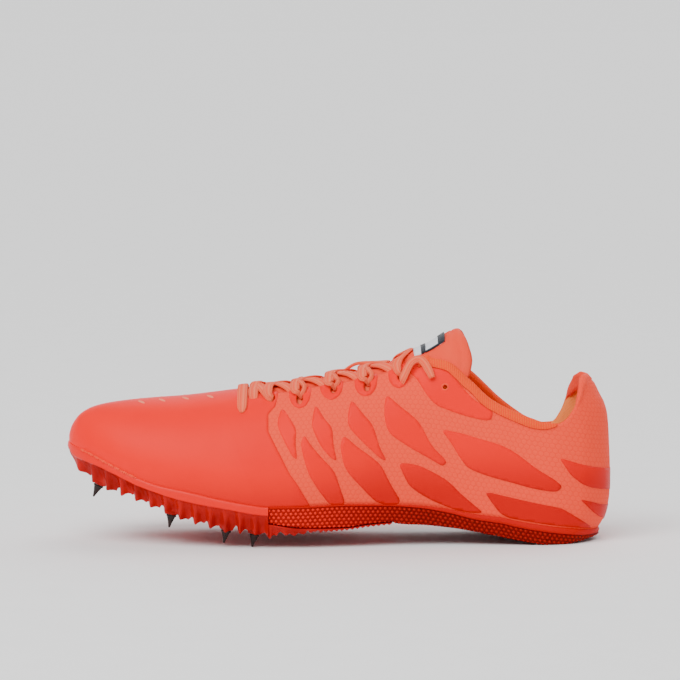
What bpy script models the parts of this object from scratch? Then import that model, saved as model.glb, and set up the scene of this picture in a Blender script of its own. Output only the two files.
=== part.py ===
"""Track spike shoe, left foot: upper, collar binding, tongue, insole, midsole, spike plate and lace.

Metres, Z up, toe towards -X, heel towards +X, lateral side towards -Y, floor at Z = 0.
Every curved piece is worked out from one surface, the last, through its width and height tables.
"""
import math
from collections import namedtuple

import bmesh
import bpy
import numpy as np
from mathutils import Vector

# Driving dimensions
LENGTH = 0.280            # toe to the line of the heel
BALL_WIDTH = 0.088        # widest part of the forefoot
INSTEP_HEIGHT = 0.100     # ridge of the last above the floor, at the top of the throat
HEEL_SETBACK = 0.0109     # how far the top of the heel leans forward
WALL = 0.0015             # wall of the upper
GAP = 0.0003              # clearance between neighbouring pieces
FLANGE = 0.0007           # how far the sole stands out beyond the upper
TUCK = 0.04               # share of the width that the wall turns in at its lower edge

# Throat, collar and lace holes
BINDING_WIDTH = 0.0048
BINDING_RAISE = 0.0006
BINDING_FROM = 0.648      # share of the length
BINDING_TO = 0.905
EYELET_DIAMETER = 0.0034
SPARE_HOLE_DIAMETER = 0.0022

# Tongue, label and insole
TONGUE_THICK = 0.0026
TONGUE_GAP = 0.0005
TONGUE_FROM = 0.300
TONGUE_TO = 0.7204
TONGUE_SIDE_LAG = 0.0256
LABEL_FROM = 0.640
LABEL_TO = 0.700
LABEL_HALF_WIDTH = 0.0120
LABEL_THICK = 0.0005
INSOLE_THICK = 0.0030
INSOLE_INSET = 0.0023

# Sole
PLATE_STEP = 0.3715       # where the plate drops under the midsole
PLATE_END = 0.598
MIDSOLE_FROM = 0.3725
STRIP_BULGE = 0.0008
LUG_DEPTH = 0.0030
LUG_FIRST = 0.0194
LUG_LAST = 0.3745
LUG_COUNT = 14
LIP_STEP = 0.0006
MIDSOLE_LEAN = 0.0015

# Spikes
SPIKE_LENGTH = 0.0068
SPIKE_RADIUS = 0.0024
SPIKE_TIP_RADIUS = 0.0005
SPIKE_COLLAR_RADIUS = 0.0030
SPIKE_COLLAR_HEIGHT = 0.0008
BOSS_RADIUS = 0.0042
BOSS_ROOT = 0.0060

# Lace
LACE_WIDTH = 0.0055
LACE_THICK = 0.0012
LACE_CLEARANCE = 0.0006
LACE_END_RADIUS = 0.0011

# Half widths of the last as shares of the ball width
Plan = namedtuple("Plan", "along lateral medial")
PLAN = (
    Plan(0.000, 0.000, 0.000),
    Plan(0.020, 0.150, 0.222),
    Plan(0.050, 0.243, 0.318),
    Plan(0.100, 0.341, 0.398),
    Plan(0.150, 0.403, 0.443),
    Plan(0.200, 0.449, 0.472),
    Plan(0.270, 0.494, 0.489),
    Plan(0.350, 0.523, 0.477),
    Plan(0.420, 0.517, 0.438),
    Plan(0.500, 0.477, 0.386),
    Plan(0.600, 0.415, 0.347),
    Plan(0.700, 0.375, 0.341),
    Plan(0.800, 0.364, 0.352),
    Plan(0.880, 0.352, 0.352),
    Plan(0.940, 0.300, 0.300),
    Plan(0.980, 0.185, 0.185),
    Plan(1.000, 0.000, 0.000),
)

# Lower edge of the upper, as shares of the instep height
Feather = namedtuple("Feather", "along height")
FEATHER = (
    Feather(0.000, 0.502),
    Feather(0.019, 0.484),
    Feather(0.043, 0.459),
    Feather(0.080, 0.412),
    Feather(0.131, 0.350),
    Feather(0.170, 0.314),
    Feather(0.224, 0.285),
    Feather(0.283, 0.249),
    Feather(0.333, 0.225),
    Feather(0.369, 0.212),
    Feather(0.428, 0.214),
    Feather(0.502, 0.220),
    Feather(0.576, 0.216),
    Feather(0.646, 0.206),
    Feather(0.704, 0.184),
    Feather(0.746, 0.160),
    Feather(0.798, 0.141),
    Feather(0.824, 0.124),
    Feather(0.883, 0.097),
    Feather(0.943, 0.077),
    Feather(1.000, 0.055),
)

# Ridge of the last, carried on over the tongue, as shares of the instep height
Ridge = namedtuple("Ridge", "along height")
RIDGE = (
    Ridge(0.000, 0.540),
    Ridge(0.004, 0.578),
    Ridge(0.010, 0.610),
    Ridge(0.020, 0.645),
    Ridge(0.043, 0.682),
    Ridge(0.065, 0.699),
    Ridge(0.098, 0.714),
    Ridge(0.154, 0.730),
    Ridge(0.209, 0.741),
    Ridge(0.265, 0.759),
    Ridge(0.309, 0.775),
    Ridge(0.354, 0.790),
    Ridge(0.407, 0.808),
    Ridge(0.455, 0.832),
    Ridge(0.517, 0.865),
    Ridge(0.578, 0.906),
    Ridge(0.620, 0.958),
    Ridge(0.643, 0.996),
    Ridge(0.665, 1.032),
    Ridge(0.687, 1.072),
    Ridge(0.705, 1.102),
    Ridge(0.720, 1.115),
    Ridge(0.745, 1.125),
    Ridge(0.800, 1.160),
    Ridge(0.900, 1.190),
    Ridge(1.000, 1.200),
)

# Fullness of the section: how square its shoulder is
Shape = namedtuple("Shape", "along shoulder")
SHAPE = (
    Shape(0.00, 2.10),
    Shape(0.31, 2.10),
    Shape(0.40, 2.20),
    Shape(0.50, 2.60),
    Shape(0.58, 3.00),
    Shape(0.65, 3.20),
    Shape(0.80, 3.20),
    Shape(1.00, 3.00),
)

# Top edge at the collar, lateral and medial, as shares of the instep height
Collar = namedtuple("Collar", "along lateral medial")
COLLAR = (
    Collar(0.620, 1.100, 1.100),
    Collar(0.655, 1.000, 1.000),
    Collar(0.669, 0.960, 0.960),
    Collar(0.685, 0.952, 0.952),
    Collar(0.699, 0.942, 0.942),
    Collar(0.715, 0.912, 0.912),
    Collar(0.732, 0.869, 0.869),
    Collar(0.748, 0.830, 0.828),
    Collar(0.763, 0.788, 0.786),
    Collar(0.776, 0.757, 0.753),
    Collar(0.798, 0.720, 0.704),
    Collar(0.826, 0.684, 0.648),
    Collar(0.854, 0.653, 0.602),
    Collar(0.882, 0.630, 0.575),
    Collar(0.902, 0.627, 0.580),
    Collar(0.916, 0.645, 0.630),
    Collar(0.933, 0.690, 0.715),
    Collar(0.946, 0.730, 0.765),
    Collar(0.958, 0.770, 0.800),
    Collar(0.970, 0.815, 0.828),
    Collar(0.984, 0.845, 0.848),
    Collar(0.992, 0.860, 0.860),
    Collar(1.000, 0.858, 0.858),
)

# Half width of the open throat, as shares of the ball width
Throat = namedtuple("Throat", "along half")
THROAT = (
    Throat(0.312, 0.000),
    Throat(0.316, 0.052),
    Throat(0.325, 0.092),
    Throat(0.340, 0.125),
    Throat(0.365, 0.148),
    Throat(0.397, 0.165),
    Throat(0.456, 0.168),
    Throat(0.517, 0.182),
    Throat(0.578, 0.180),
    Throat(0.635, 0.190),
    Throat(0.669, 0.205),
    Throat(0.720, 0.220),
)

# Line of the heel: how far it lies in front of the end of the length, as shares of the setback
HeelLine = namedtuple("HeelLine", "height setback")
HEEL_LINE = (
    HeelLine(0.000, 0.750),
    HeelLine(0.059, 0.480),
    HeelLine(0.111, 0.193),
    HeelLine(0.158, 0.055),
    HeelLine(0.240, -0.064),
    HeelLine(0.350, -0.077),
    HeelLine(0.512, -0.028),
    HeelLine(0.642, 0.055),
    HeelLine(0.710, 0.211),
    HeelLine(0.757, 0.440),
    HeelLine(0.820, 0.734),
    HeelLine(0.850, 1.000),
    HeelLine(1.200, 1.600),
)

# Underside of the plate at the tips of its lugs, and lower edge of its rim strip
Tread = namedtuple("Tread", "along tip strip")
TREAD = (
    Tread(0.000, 0.470, 0.480),
    Tread(0.003, 0.450, 0.464),
    Tread(0.009, 0.424, 0.444),
    Tread(0.0194, 0.368, 0.433),
    Tread(0.033, 0.342, 0.422),
    Tread(0.054, 0.303, 0.406),
    Tread(0.093, 0.262, 0.362),
    Tread(0.131, 0.230, 0.315),
    Tread(0.163, 0.195, 0.285),
    Tread(0.193, 0.162, 0.260),
    Tread(0.222, 0.135, 0.240),
    Tread(0.260, 0.106, 0.215),
    Tread(0.294, 0.084, 0.195),
    Tread(0.344, 0.075, 0.164),
    Tread(0.3745, 0.052, 0.155),
    Tread(0.400, 0.062, 0.110),
    Tread(0.428, 0.069, 0.090),
    Tread(0.460, 0.080, 0.092),
    Tread(0.511, 0.088, 0.094),
    Tread(0.556, 0.103, 0.109),
    Tread(0.598, 0.112, 0.118),
)

# Underside of the midsole and the height of its lip
Foam = namedtuple("Foam", "along bottom lip")
FOAM = (
    Foam(0.3725, 0.130, 0.006),
    Foam(0.428, 0.108, 0.012),
    Foam(0.511, 0.104, 0.016),
    Foam(0.556, 0.119, 0.018),
    Foam(0.600, 0.127, 0.018),
    Foam(0.604, 0.119, 0.018),
    Foam(0.661, 0.106, 0.020),
    Foam(0.717, 0.086, 0.022),
    Foam(0.780, 0.053, 0.024),
    Foam(0.824, 0.027, 0.025),
    Foam(0.860, 0.009, 0.026),
    Foam(0.885, 0.000, 0.026),
    Foam(0.925, 0.000, 0.026),
    Foam(0.960, 0.008, 0.024),
    Foam(0.985, 0.018, 0.020),
    Foam(1.000, 0.026, 0.015),
)

# Lace holes: place along the shoe and distance from the ridge as a share of the ball width
Eyelet = namedtuple("Eyelet", "along out")
EYELETS = (
    Eyelet(0.3230, 0.295),
    Eyelet(0.3760, 0.239),
    Eyelet(0.4278, 0.284),
    Eyelet(0.4900, 0.250),
    Eyelet(0.5515, 0.270),
    Eyelet(0.6133, 0.257),
)
SPARE_HOLE = Eyelet(0.6940, 0.305)

# Spikes: where each one leaves the plate
Spike = namedtuple("Spike", "side number along out height")
SPIKES = (
    Spike("lateral", 1, 0.0574, 0.159, 0.298),
    Spike("lateral", 2, 0.1932, 0.330, 0.163),
    Spike("lateral", 3, 0.2939, 0.386, 0.090),
    Spike("lateral", 4, 0.3454, 0.398, None),
    Spike("medial", 1, 0.0530, 0.205, 0.320),
    Spike("medial", 2, 0.1675, 0.341, 0.188),
    Spike("medial", 3, 0.2605, 0.386, 0.104),
    Spike("medial", 4, 0.3454, 0.364, None),
)

# Free end of the lace: up from the top lateral hole, in a low arch and down over the collar.
# The rise is what the arch stands above the height at which the lace lies on the binding.
Bend = namedtuple("Bend", "along out rise")
LACE_END_ROUTE = (
    Bend(0.6210, 0.272, 0.0000),
    Bend(0.6255, 0.252, 0.0014),
    Bend(0.6325, 0.230, 0.0022),
    Bend(0.6410, 0.218, 0.0026),
    Bend(0.6500, 0.220, 0.0024),
    Bend(0.6580, 0.242, 0.0018),
    Bend(0.6650, 0.272, 0.0009),
    Bend(0.6715, 0.302, 0.0000),
)

SIDES = {"lateral": -1.0, "medial": 1.0}


def smooth_curve(table, place, value, power=1.0):
    """Monotone cubic curve through two columns of a table, interpolated in a power of the value."""
    places = np.array([getattr(row, place) for row in table])
    values = np.sign([getattr(row, value) for row in table]) * np.abs([getattr(row, value) for row in table]) ** power
    steps = np.diff(places)
    slopes = np.diff(values) / steps
    tangents = np.zeros(len(places))
    tangents[0] = slopes[0]
    tangents[-1] = slopes[-1]
    for k in range(1, len(places) - 1):
        if slopes[k - 1] * slopes[k] > 0:
            before = 2 * steps[k] + steps[k - 1]
            after = steps[k] + 2 * steps[k - 1]
            tangents[k] = (before + after) / (before / slopes[k - 1] + after / slopes[k])

    def at(where):
        k = int(np.clip(np.searchsorted(places, where) - 1, 0, len(steps) - 1))
        t = float(np.clip((where - places[k]) / steps[k], 0.0, 1.0))
        mixed = ((1 + 2 * t) * (1 - t) ** 2 * values[k] + t * (1 - t) ** 2 * steps[k] * tangents[k]
                 + t * t * (3 - 2 * t) * values[k + 1] + t * t * (t - 1) * steps[k] * tangents[k + 1])
        return math.copysign(abs(mixed) ** (1.0 / power), mixed)

    return at


half_width_share = {
    "lateral": smooth_curve(PLAN, "along", "lateral", 2.0),
    "medial": smooth_curve(PLAN, "along", "medial", 2.0),
}
feather_share = smooth_curve(FEATHER, "along", "height")
ridge_share = smooth_curve(RIDGE, "along", "height")
shoulder_of = smooth_curve(SHAPE, "along", "shoulder")
collar_share = {
    "lateral": smooth_curve(COLLAR, "along", "lateral"),
    "medial": smooth_curve(COLLAR, "along", "medial"),
}
throat_share = smooth_curve(THROAT, "along", "half")
setback_share = smooth_curve(HEEL_LINE, "height", "setback")
tip_share = smooth_curve(TREAD, "along", "tip")
strip_share = smooth_curve(TREAD, "along", "strip")
foam_share = smooth_curve(FOAM, "along", "bottom")
lip_share = smooth_curve(FOAM, "along", "lip")


def half_width(along, side):
    return BALL_WIDTH * half_width_share[side](along)


def feather(along):
    return INSTEP_HEIGHT * feather_share(along)


def ridge(along):
    return INSTEP_HEIGHT * ridge_share(along)


def ease(value):
    value = min(max(value, 0.0), 1.0)
    return value * value * (3.0 - 2.0 * value)


def place_x(along, height):
    """X of a point of the last: the heel leans forward above and below its fullest height."""
    lean = HEEL_SETBACK * setback_share(height / INSTEP_HEIGHT) * ease((along - 0.8) / 0.2)
    return LENGTH * (along - 0.5) - lean


def turned_in(rise):
    """Share of the width left where the wall turns in at its lower edge."""
    return 1.0 - TUCK * max(0.0, 1.0 - rise / 0.3) ** 2


def last_point(along, side, angle):
    """Point of the last: angle 0 on the ridge, a right angle on the lower edge."""
    wide = math.sin(angle) ** (2.0 / shoulder_of(along))
    rise = math.cos(angle)
    low = feather(along)
    height = low + (ridge(along) - low) * rise
    out = half_width(along, side) * wide * turned_in(rise)
    return Vector((place_x(along, height), SIDES[side] * out, height))


def angle_at_width(along, side, out):
    """Angle of the section where it lies a given distance from the ridge."""
    share = min(out / max(half_width(along, side), 1e-6), 1.0)
    return math.asin(min(share ** (shoulder_of(along) / 2.0), 1.0))


def angle_at_height(along, height):
    """Angle of the section at a given height."""
    low = feather(along)
    return math.acos(min(max((height - low) / (ridge(along) - low), 0.0), 1.0))


def signed_point(along, angle):
    """Point of the last, with negative angles on the lateral side."""
    return last_point(along, "lateral" if angle < 0 else "medial", abs(angle))


def last_normal(along, angle):
    """Outward normal of the last."""
    step = 0.004
    turn = 0.05
    front = signed_point(max(along - step, 0.0), angle)
    back = signed_point(min(along + step, 1.0), angle)
    left = signed_point(along, angle - turn)
    right = signed_point(along, min(angle + turn, math.pi / 2))
    return (right - left).cross(front - back).normalized()


def raised_point(along, angle, offset):
    """Point a given distance outside the last."""
    return signed_point(along, angle) + last_normal(along, angle) * offset


def rim_height(along, side):
    """Height of the top edge of the shoe, at the throat or the collar."""
    angle = 0.0
    if THROAT[0].along < along < THROAT[-1].along:
        angle = angle_at_width(along, side, BALL_WIDTH * throat_share(along))
    height = last_point(along, side, angle).z
    if along > COLLAR[0].along:
        height = min(height, INSTEP_HEIGHT * collar_share[side](along))
    return height


def binding_drop(along, side):
    """Height of the binding, which keeps its width where the top edge is steep."""
    step = 0.004
    rise = rim_height(along + step, side) - rim_height(along - step, side)
    slope = min(abs(rise / (2 * step * LENGTH)), 1.2)
    return BINDING_WIDTH * math.hypot(1.0, slope)


def rim_angle(along, side):
    """Angle of the upper's own top edge, which stops under the binding."""
    if along <= THROAT[0].along:
        return 0.0
    height = rim_height(along, side)
    if BINDING_FROM <= along <= BINDING_TO:
        height -= binding_drop(along, side) + GAP
    return angle_at_height(along, height)


def along_of(x):
    """Station whose lower edge lies at a given X."""
    low = 0.0
    high = 1.0
    for _ in range(30):
        middle = (low + high) / 2
        if place_x(middle, feather(middle)) < x:
            low = middle
        else:
            high = middle
    return (low + high) / 2


def edge_point(along, side, outward, height):
    """Point of the lower edge moved outward in plan, with its height read from a curve along the shoe."""
    here = Vector((place_x(along, feather(along)), SIDES[side] * half_width(along, side) * (1 - TUCK)))
    if along <= 0.0:
        normal = Vector((-1.0, 0.0))
    elif along >= 1.0:
        normal = Vector((1.0, 0.0))
    else:
        step = min(0.004, along / 2, (1.0 - along) / 2)
        ahead = along + step
        behind = along - step
        run = place_x(ahead, feather(ahead)) - place_x(behind, feather(behind))
        widen = (half_width(ahead, side) - half_width(behind, side)) * (1 - TUCK)
        normal = Vector((-widen, SIDES[side] * run)).normalized()
    moved = here + normal * outward
    return Vector((moved.x, moved.y, height(along_of(moved.x))))


def sole_top(along):
    return feather(along) - GAP


def srgb(red, green, blue):
    """Linear colour from the usual 0 to 255 values."""
    linear = []
    for value in (red, green, blue):
        share = value / 255.0
        linear.append(share / 12.92 if share <= 0.04045 else ((share + 0.055) / 1.055) ** 2.4)
    return (*linear, 1.0)


def make_material(name, colour, roughness, metallic=0.0):
    material = bpy.data.materials.new(name)
    material.use_nodes = True
    shader = material.node_tree.nodes["Principled BSDF"]
    shader.inputs["Base Color"].default_value = colour
    shader.inputs["Roughness"].default_value = roughness
    shader.inputs["Metallic"].default_value = metallic
    material.diffuse_color = colour
    return material


def new_object(name, mesh, material, collection, smooth=True):
    thing = bpy.data.objects.new(name, mesh)
    thing.data.materials.append(material)
    collection.objects.link(thing)
    for polygon in mesh.polygons:
        polygon.use_smooth = smooth
    return thing


def mesh_from_grid(name, points, faces):
    """Mesh with its doubled corners welded and its faces turned outward."""
    mesh = bpy.data.meshes.new(name)
    mesh.from_pydata(points, [], faces)
    work = bmesh.new()
    work.from_mesh(mesh)
    bmesh.ops.remove_doubles(work, verts=work.verts, dist=1e-6)
    bmesh.ops.dissolve_degenerate(work, edges=work.edges, dist=1e-7)
    bmesh.ops.recalc_face_normals(work, faces=work.faces)
    work.to_mesh(mesh)
    work.free()
    return mesh


def loft(name, rings):
    """Closed solid through rings of points, with both ends filled."""
    count = len(rings[0])
    points = [point for ring in rings for point in ring]
    faces = []
    for i in range(len(rings) - 1):
        for j in range(count):
            k = (j + 1) % count
            faces.append((i * count + j, i * count + k, (i + 1) * count + k, (i + 1) * count + j))
    for i in (0, len(rings) - 1):
        spread = max((point - rings[i][0]).length for point in rings[i])
        wide = max(abs(point.y - rings[i][0].y) for point in rings[i])
        if spread > 1e-6 and wide > 1e-6:
            faces.append(tuple(range(i * count, (i + 1) * count)))
    return mesh_from_grid(name, points, faces)


def slab(name, outer, inner):
    """Closed solid between two grids of points of the same size."""
    rings = []
    for outer_row, inner_row in zip(outer, inner):
        rings.append(list(outer_row) + list(reversed(inner_row)))
    return loft(name, rings)


def cylinder(name, start, end, radius, end_radius, corners, collection, material):
    """Round bar or cone between two points."""
    axis = end - start
    work = bmesh.new()
    bmesh.ops.create_cone(work, cap_ends=True, segments=corners, radius1=radius,
                          radius2=end_radius, depth=axis.length)
    mesh = bpy.data.meshes.new(name)
    work.to_mesh(mesh)
    work.free()
    bar = new_object(name, mesh, material, collection)
    bar.rotation_mode = "QUATERNION"
    bar.rotation_quaternion = Vector((0, 0, 1)).rotation_difference(axis)
    bar.location = (start + end) / 2
    return bar


def join_tool(target, tool, operation):
    """Boolean of a target with a hidden tool body."""
    step = target.modifiers.new(tool.name, "BOOLEAN")
    step.operation = operation
    step.solver = "EXACT"
    step.object = tool
    tool.hide_render = True
    tool.display_type = "WIRE"


def stations(count, extra, start=0.0, end=1.0):
    """Places along the shoe, closer together at both ends, with the given extra ones."""
    spread = [start + (end - start) * (0.5 - 0.5 * math.cos(math.pi * k / count)) for k in range(count + 1)]
    chosen = list(extra)
    for place in spread:
        if all(abs(place - other) > 0.003 for other in extra) or place in (start, end):
            chosen.append(place)
    return sorted(set(chosen))


def upper_places():
    """Stations of the upper, which its binding shares."""
    extra = [0.3125, 0.316, 0.325, 0.340, BINDING_FROM - 0.004, BINDING_FROM, BINDING_TO, BINDING_TO + 0.003]
    extra += [row.along for row in COLLAR if row.along > BINDING_FROM + 0.01]
    return stations(34, extra)


def build_upper(collection, tools, material):
    """Hollow shell, open at the throat, at the collar and underneath."""
    places = upper_places()
    rows = 9
    points = []
    faces = []
    for side in ("lateral", "medial"):
        base = len(points)
        for along in places:
            top = rim_angle(along, side)
            for j in range(rows + 1):
                angle = math.pi / 2 + (top - math.pi / 2) * j / rows
                points.append(last_point(along, side, angle))
        for i in range(len(places) - 1):
            for j in range(rows):
                corner = base + i * (rows + 1) + j
                face = (corner, corner + rows + 1, corner + rows + 2, corner + 1)
                faces.append(face if side == "lateral" else tuple(reversed(face)))
    mesh = mesh_from_open_grid("upper", points, faces)
    upper = new_object("upper", mesh, material, collection)
    shell = upper.modifiers.new("wall", "SOLIDIFY")
    shell.thickness = WALL
    shell.offset = -1.0
    shell.use_even_offset = True
    for side, sign in SIDES.items():
        for number, hole in enumerate(EYELETS + (SPARE_HOLE,), start=1):
            angle = sign * angle_at_width(hole.along, side, BALL_WIDTH * hole.out)
            middle = signed_point(hole.along, angle)
            normal = last_normal(hole.along, angle)
            wide = SPARE_HOLE_DIAMETER if hole is SPARE_HOLE else EYELET_DIAMETER
            punch = cylinder(f"punch_{side}_{number}", middle - normal * 3 * WALL, middle + normal * 3 * WALL,
                             wide / 2, wide / 2, 6, tools, material)
            join_tool(upper, punch, "DIFFERENCE")
    return upper


def mesh_from_open_grid(name, points, faces):
    """Open mesh with its doubled corners welded and its given face order kept."""
    mesh = bpy.data.meshes.new(name)
    mesh.from_pydata(points, [], faces)
    work = bmesh.new()
    work.from_mesh(mesh)
    bmesh.ops.remove_doubles(work, verts=work.verts, dist=1e-6)
    bmesh.ops.dissolve_degenerate(work, edges=work.edges, dist=1e-7)
    work.to_mesh(mesh)
    work.free()
    return mesh


def build_binding(side, collection, material):
    """Edging on the collar, a continuation of the wall a little thicker than it."""
    end_gap = 1.5 * GAP / LENGTH
    places = [place for place in upper_places() if BINDING_FROM + end_gap < place < BINDING_TO - end_gap]
    places = [BINDING_FROM + end_gap] + places + [BINDING_TO - end_gap]
    rows = 2
    outer = []
    inner = []
    for along in places:
        high = rim_height(along, side)
        low = high - binding_drop(along, side)
        angles = [SIDES[side] * angle_at_height(along, low + (high - low) * j / rows) for j in range(rows + 1)]
        outer.append([raised_point(along, angle, BINDING_RAISE) for angle in angles])
        inner.append([raised_point(along, angle, -WALL) for angle in angles])
    return new_object(f"collar_binding_{side}", slab("binding", outer, inner), material, collection)


def tongue_half_width(along):
    """The tongue reaches under both edges of the throat."""
    return BALL_WIDTH * (0.215 + 0.075 * ease((along - 0.36) / 0.38))


def tongue_point(along, across, offset):
    """Point of the tongue: across runs from -1 on the lateral edge to 1 on the medial edge."""
    end = TONGUE_TO + TONGUE_SIDE_LAG * min(across * across * 1.12, 1.0)
    end -= 0.006 * max(0.0, abs(across) - 0.9) / 0.1
    place = TONGUE_FROM + (end - TONGUE_FROM) * along
    side = "lateral" if across < 0 else "medial"
    out = abs(across) * tongue_half_width(place)
    angle = SIDES[side] * angle_at_width(place, side, out)
    return raised_point(place, angle, offset)


def build_tongue(collection, material):
    """Thin padded strip that lies under the throat and rises above it."""
    top = -(WALL + TONGUE_GAP)
    acrosses = [math.sin(math.pi / 2 * k / 6) for k in range(-6, 7)]
    outer = []
    inner = []
    for k in range(19):
        along = k / 18
        outer.append([tongue_point(along, across, top) for across in acrosses])
        inner.append([tongue_point(along, across, top - TONGUE_THICK) for across in acrosses])
    return new_object("tongue", slab("tongue", outer, inner), material, collection)


def build_label(collection, material):
    """Small plain patch on top of the tongue."""
    low = GAP - (WALL + TONGUE_GAP)
    outer = []
    inner = []
    for k in range(7):
        place = LABEL_FROM + (LABEL_TO - LABEL_FROM) * k / 6
        for rows, offset in ((outer, low + LABEL_THICK), (inner, low)):
            row = []
            for j in range(-4, 5):
                side = "lateral" if j < 0 else "medial"
                out = LABEL_HALF_WIDTH * abs(j) / 4
                angle = SIDES[side] * angle_at_width(place, side, out)
                row.append(raised_point(place, angle, offset))
            rows.append(row)
    return new_object("tongue_label", slab("label", outer, inner), material, collection)


def build_insole(collection, material):
    """Thin sheet inside the upper, resting over the plate and the midsole."""
    rings = []
    front = [along for along, lug in plate_front_places()]
    for along in front + midsole_places():
        left = edge_point(along, "lateral", -INSOLE_INSET, feather)
        right = edge_point(along, "medial", -INSOLE_INSET, feather)
        up = Vector((0.0, 0.0, INSOLE_THICK))
        rings.append([left, left + up, right + up, right])
    return new_object("insole", loft("insole", rings), material, collection, smooth=False)


def across_point(left, right, share, height):
    """Point between two edge points: share -1 on the left and 1 on the right."""
    mixed = left.lerp(right, (share + 1) / 2)
    return Vector((mixed.x, mixed.y, height(along_of(mixed.x))))


def foam_bottom(along):
    return INSTEP_HEIGHT * foam_share(along)


def lug_tip(along):
    return INSTEP_HEIGHT * tip_share(along)


def lug_valley(along):
    """The hollows between lugs fade out at the toe and under the arch."""
    fade = ease((along - 0.005) / 0.03) * (1.0 - ease((along - 0.36) / 0.06))
    return lug_tip(along) + LUG_DEPTH * fade


def lug_low(along):
    """Inner lugs are a little shorter than those of the edge."""
    return lug_tip(along) * 0.7 + lug_valley(along) * 0.3


def plate_front_places():
    """Stations of the plate in front of the midsole, each with the number of its row of lugs or None."""
    places = [(0.0, None), (0.003, None), (0.009, None)]
    pitch = (LUG_LAST - LUG_FIRST) / (LUG_COUNT - 1)
    for number in range(LUG_COUNT - 1):
        along = LUG_FIRST + pitch * number
        places.append((along, number))
        if number < LUG_COUNT - 2:
            places.append((along + pitch * 0.5, None))
    return places


def midsole_places():
    return stations(26, [0.600, 0.604, 0.885, 0.925], MIDSOLE_FROM, 1.0)


def plate_ring(along, lug, under_midsole):
    """Section of the plate: rim strip on both sides and a row of lugs underneath."""
    def top(place):
        return foam_bottom(place) - GAP if under_midsole else sole_top(place)

    def strip(place):
        return max(min(INSTEP_HEIGHT * strip_share(place), top(place) - 0.0005), lug_tip(place) + 0.0003)

    def middle(place):
        return (top(place) + strip(place)) / 2

    out = FLANGE - MIDSOLE_LEAN if under_midsole else FLANGE
    bulge = 0.0 if under_midsole else STRIP_BULGE
    fade = ease(along / 0.03) * (1.0 - ease((along - 0.36) / 0.06))
    inset = 0.0012 * ease(along / 0.03) if lug is not None else 0.0045 * fade
    half = []
    for side in SIDES:
        half.append((
            edge_point(along, side, out, top),
            edge_point(along, side, out + bulge, middle),
            edge_point(along, side, out + bulge / 2, strip),
        ))
    left = edge_point(along, "lateral", out - inset, lug_tip)
    right = edge_point(along, "medial", out - inset, lug_tip)
    columns = 8
    bottom = []
    for j in range(columns + 1):
        height = lug_valley
        if lug is not None and j in (0, columns):
            height = lug_tip
        elif lug is not None and (lug + j) % 2 == 1:
            height = lug_low
        bottom.append(across_point(left, right, -1 + 2 * j / columns, height))
    return list(half[0]) + bottom + list(reversed(half[1]))


def build_plate(collection, tools, material):
    """Stiff plate: rim strip, lugs, a boss for each spike and a tail under the midsole."""
    rings = [plate_ring(along, lug, False) for along, lug in plate_front_places()]
    rings.append(plate_ring(PLATE_STEP, None, False))
    rings.append(plate_ring(PLATE_STEP, None, True))
    rings.append(plate_ring(LUG_LAST, LUG_COUNT - 1, True))
    for along in (0.388, 0.404, 0.428, 0.460, 0.495, 0.530, 0.565, PLATE_END):
        rings.append(plate_ring(along, None, True))
    plate = new_object("spike_plate", loft("plate", rings), material, collection, smooth=False)
    for spike in SPIKES:
        foot, down = spike_seat(spike)
        boss = cylinder(f"boss_{spike.side}_{spike.number}", foot - down * BOSS_ROOT, foot,
                        BOSS_RADIUS, BOSS_RADIUS * 0.86, 12, tools, material)
        join_tool(plate, boss, "UNION")
    return plate


def spike_seat(spike):
    """Middle of the boss face and the direction in which the spike points."""
    step = 0.01
    slope = (feather(spike.along + step) - feather(spike.along - step)) / (2 * step * LENGTH)
    down = Vector((slope, 0.0, -1.0)).normalized()
    if spike.height is None:
        side_reach = SPIKE_TIP_RADIUS * math.hypot(down.x, down.y)
        height = -down.z * (SPIKE_LENGTH + GAP) + side_reach
    else:
        height = INSTEP_HEIGHT * spike.height
    out = SIDES[spike.side] * BALL_WIDTH * spike.out
    return Vector((LENGTH * (spike.along - 0.5), out, height)), down


def build_spike(spike, collection, material):
    """Short pin with a collar at its root."""
    foot, down = spike_seat(spike)
    work = bmesh.new()
    profile = (
        (0.0, SPIKE_COLLAR_RADIUS),
        (SPIKE_COLLAR_HEIGHT, SPIKE_COLLAR_RADIUS),
        (SPIKE_COLLAR_HEIGHT, SPIKE_RADIUS),
        (SPIKE_LENGTH, SPIKE_TIP_RADIUS),
    )
    corners = 10
    loops = []
    for depth, radius in profile:
        loop = []
        for k in range(corners):
            turn = 2 * math.pi * k / corners
            loop.append(work.verts.new((radius * math.cos(turn), radius * math.sin(turn), depth)))
        loops.append(loop)
    for first, second in zip(loops, loops[1:]):
        for k in range(corners):
            after = (k + 1) % corners
            work.faces.new((first[k], first[after], second[after], second[k]))
    work.faces.new(list(reversed(loops[0])))
    work.faces.new(loops[-1])
    bmesh.ops.recalc_face_normals(work, faces=work.faces)
    mesh = bpy.data.meshes.new("spike")
    work.to_mesh(mesh)
    work.free()
    pin = new_object(f"spike_{spike.side}_{spike.number}", mesh, material, collection)
    pin.rotation_mode = "QUATERNION"
    pin.rotation_quaternion = Vector((0, 0, 1)).rotation_difference(down)
    pin.location = foot + down * GAP
    return pin


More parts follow.
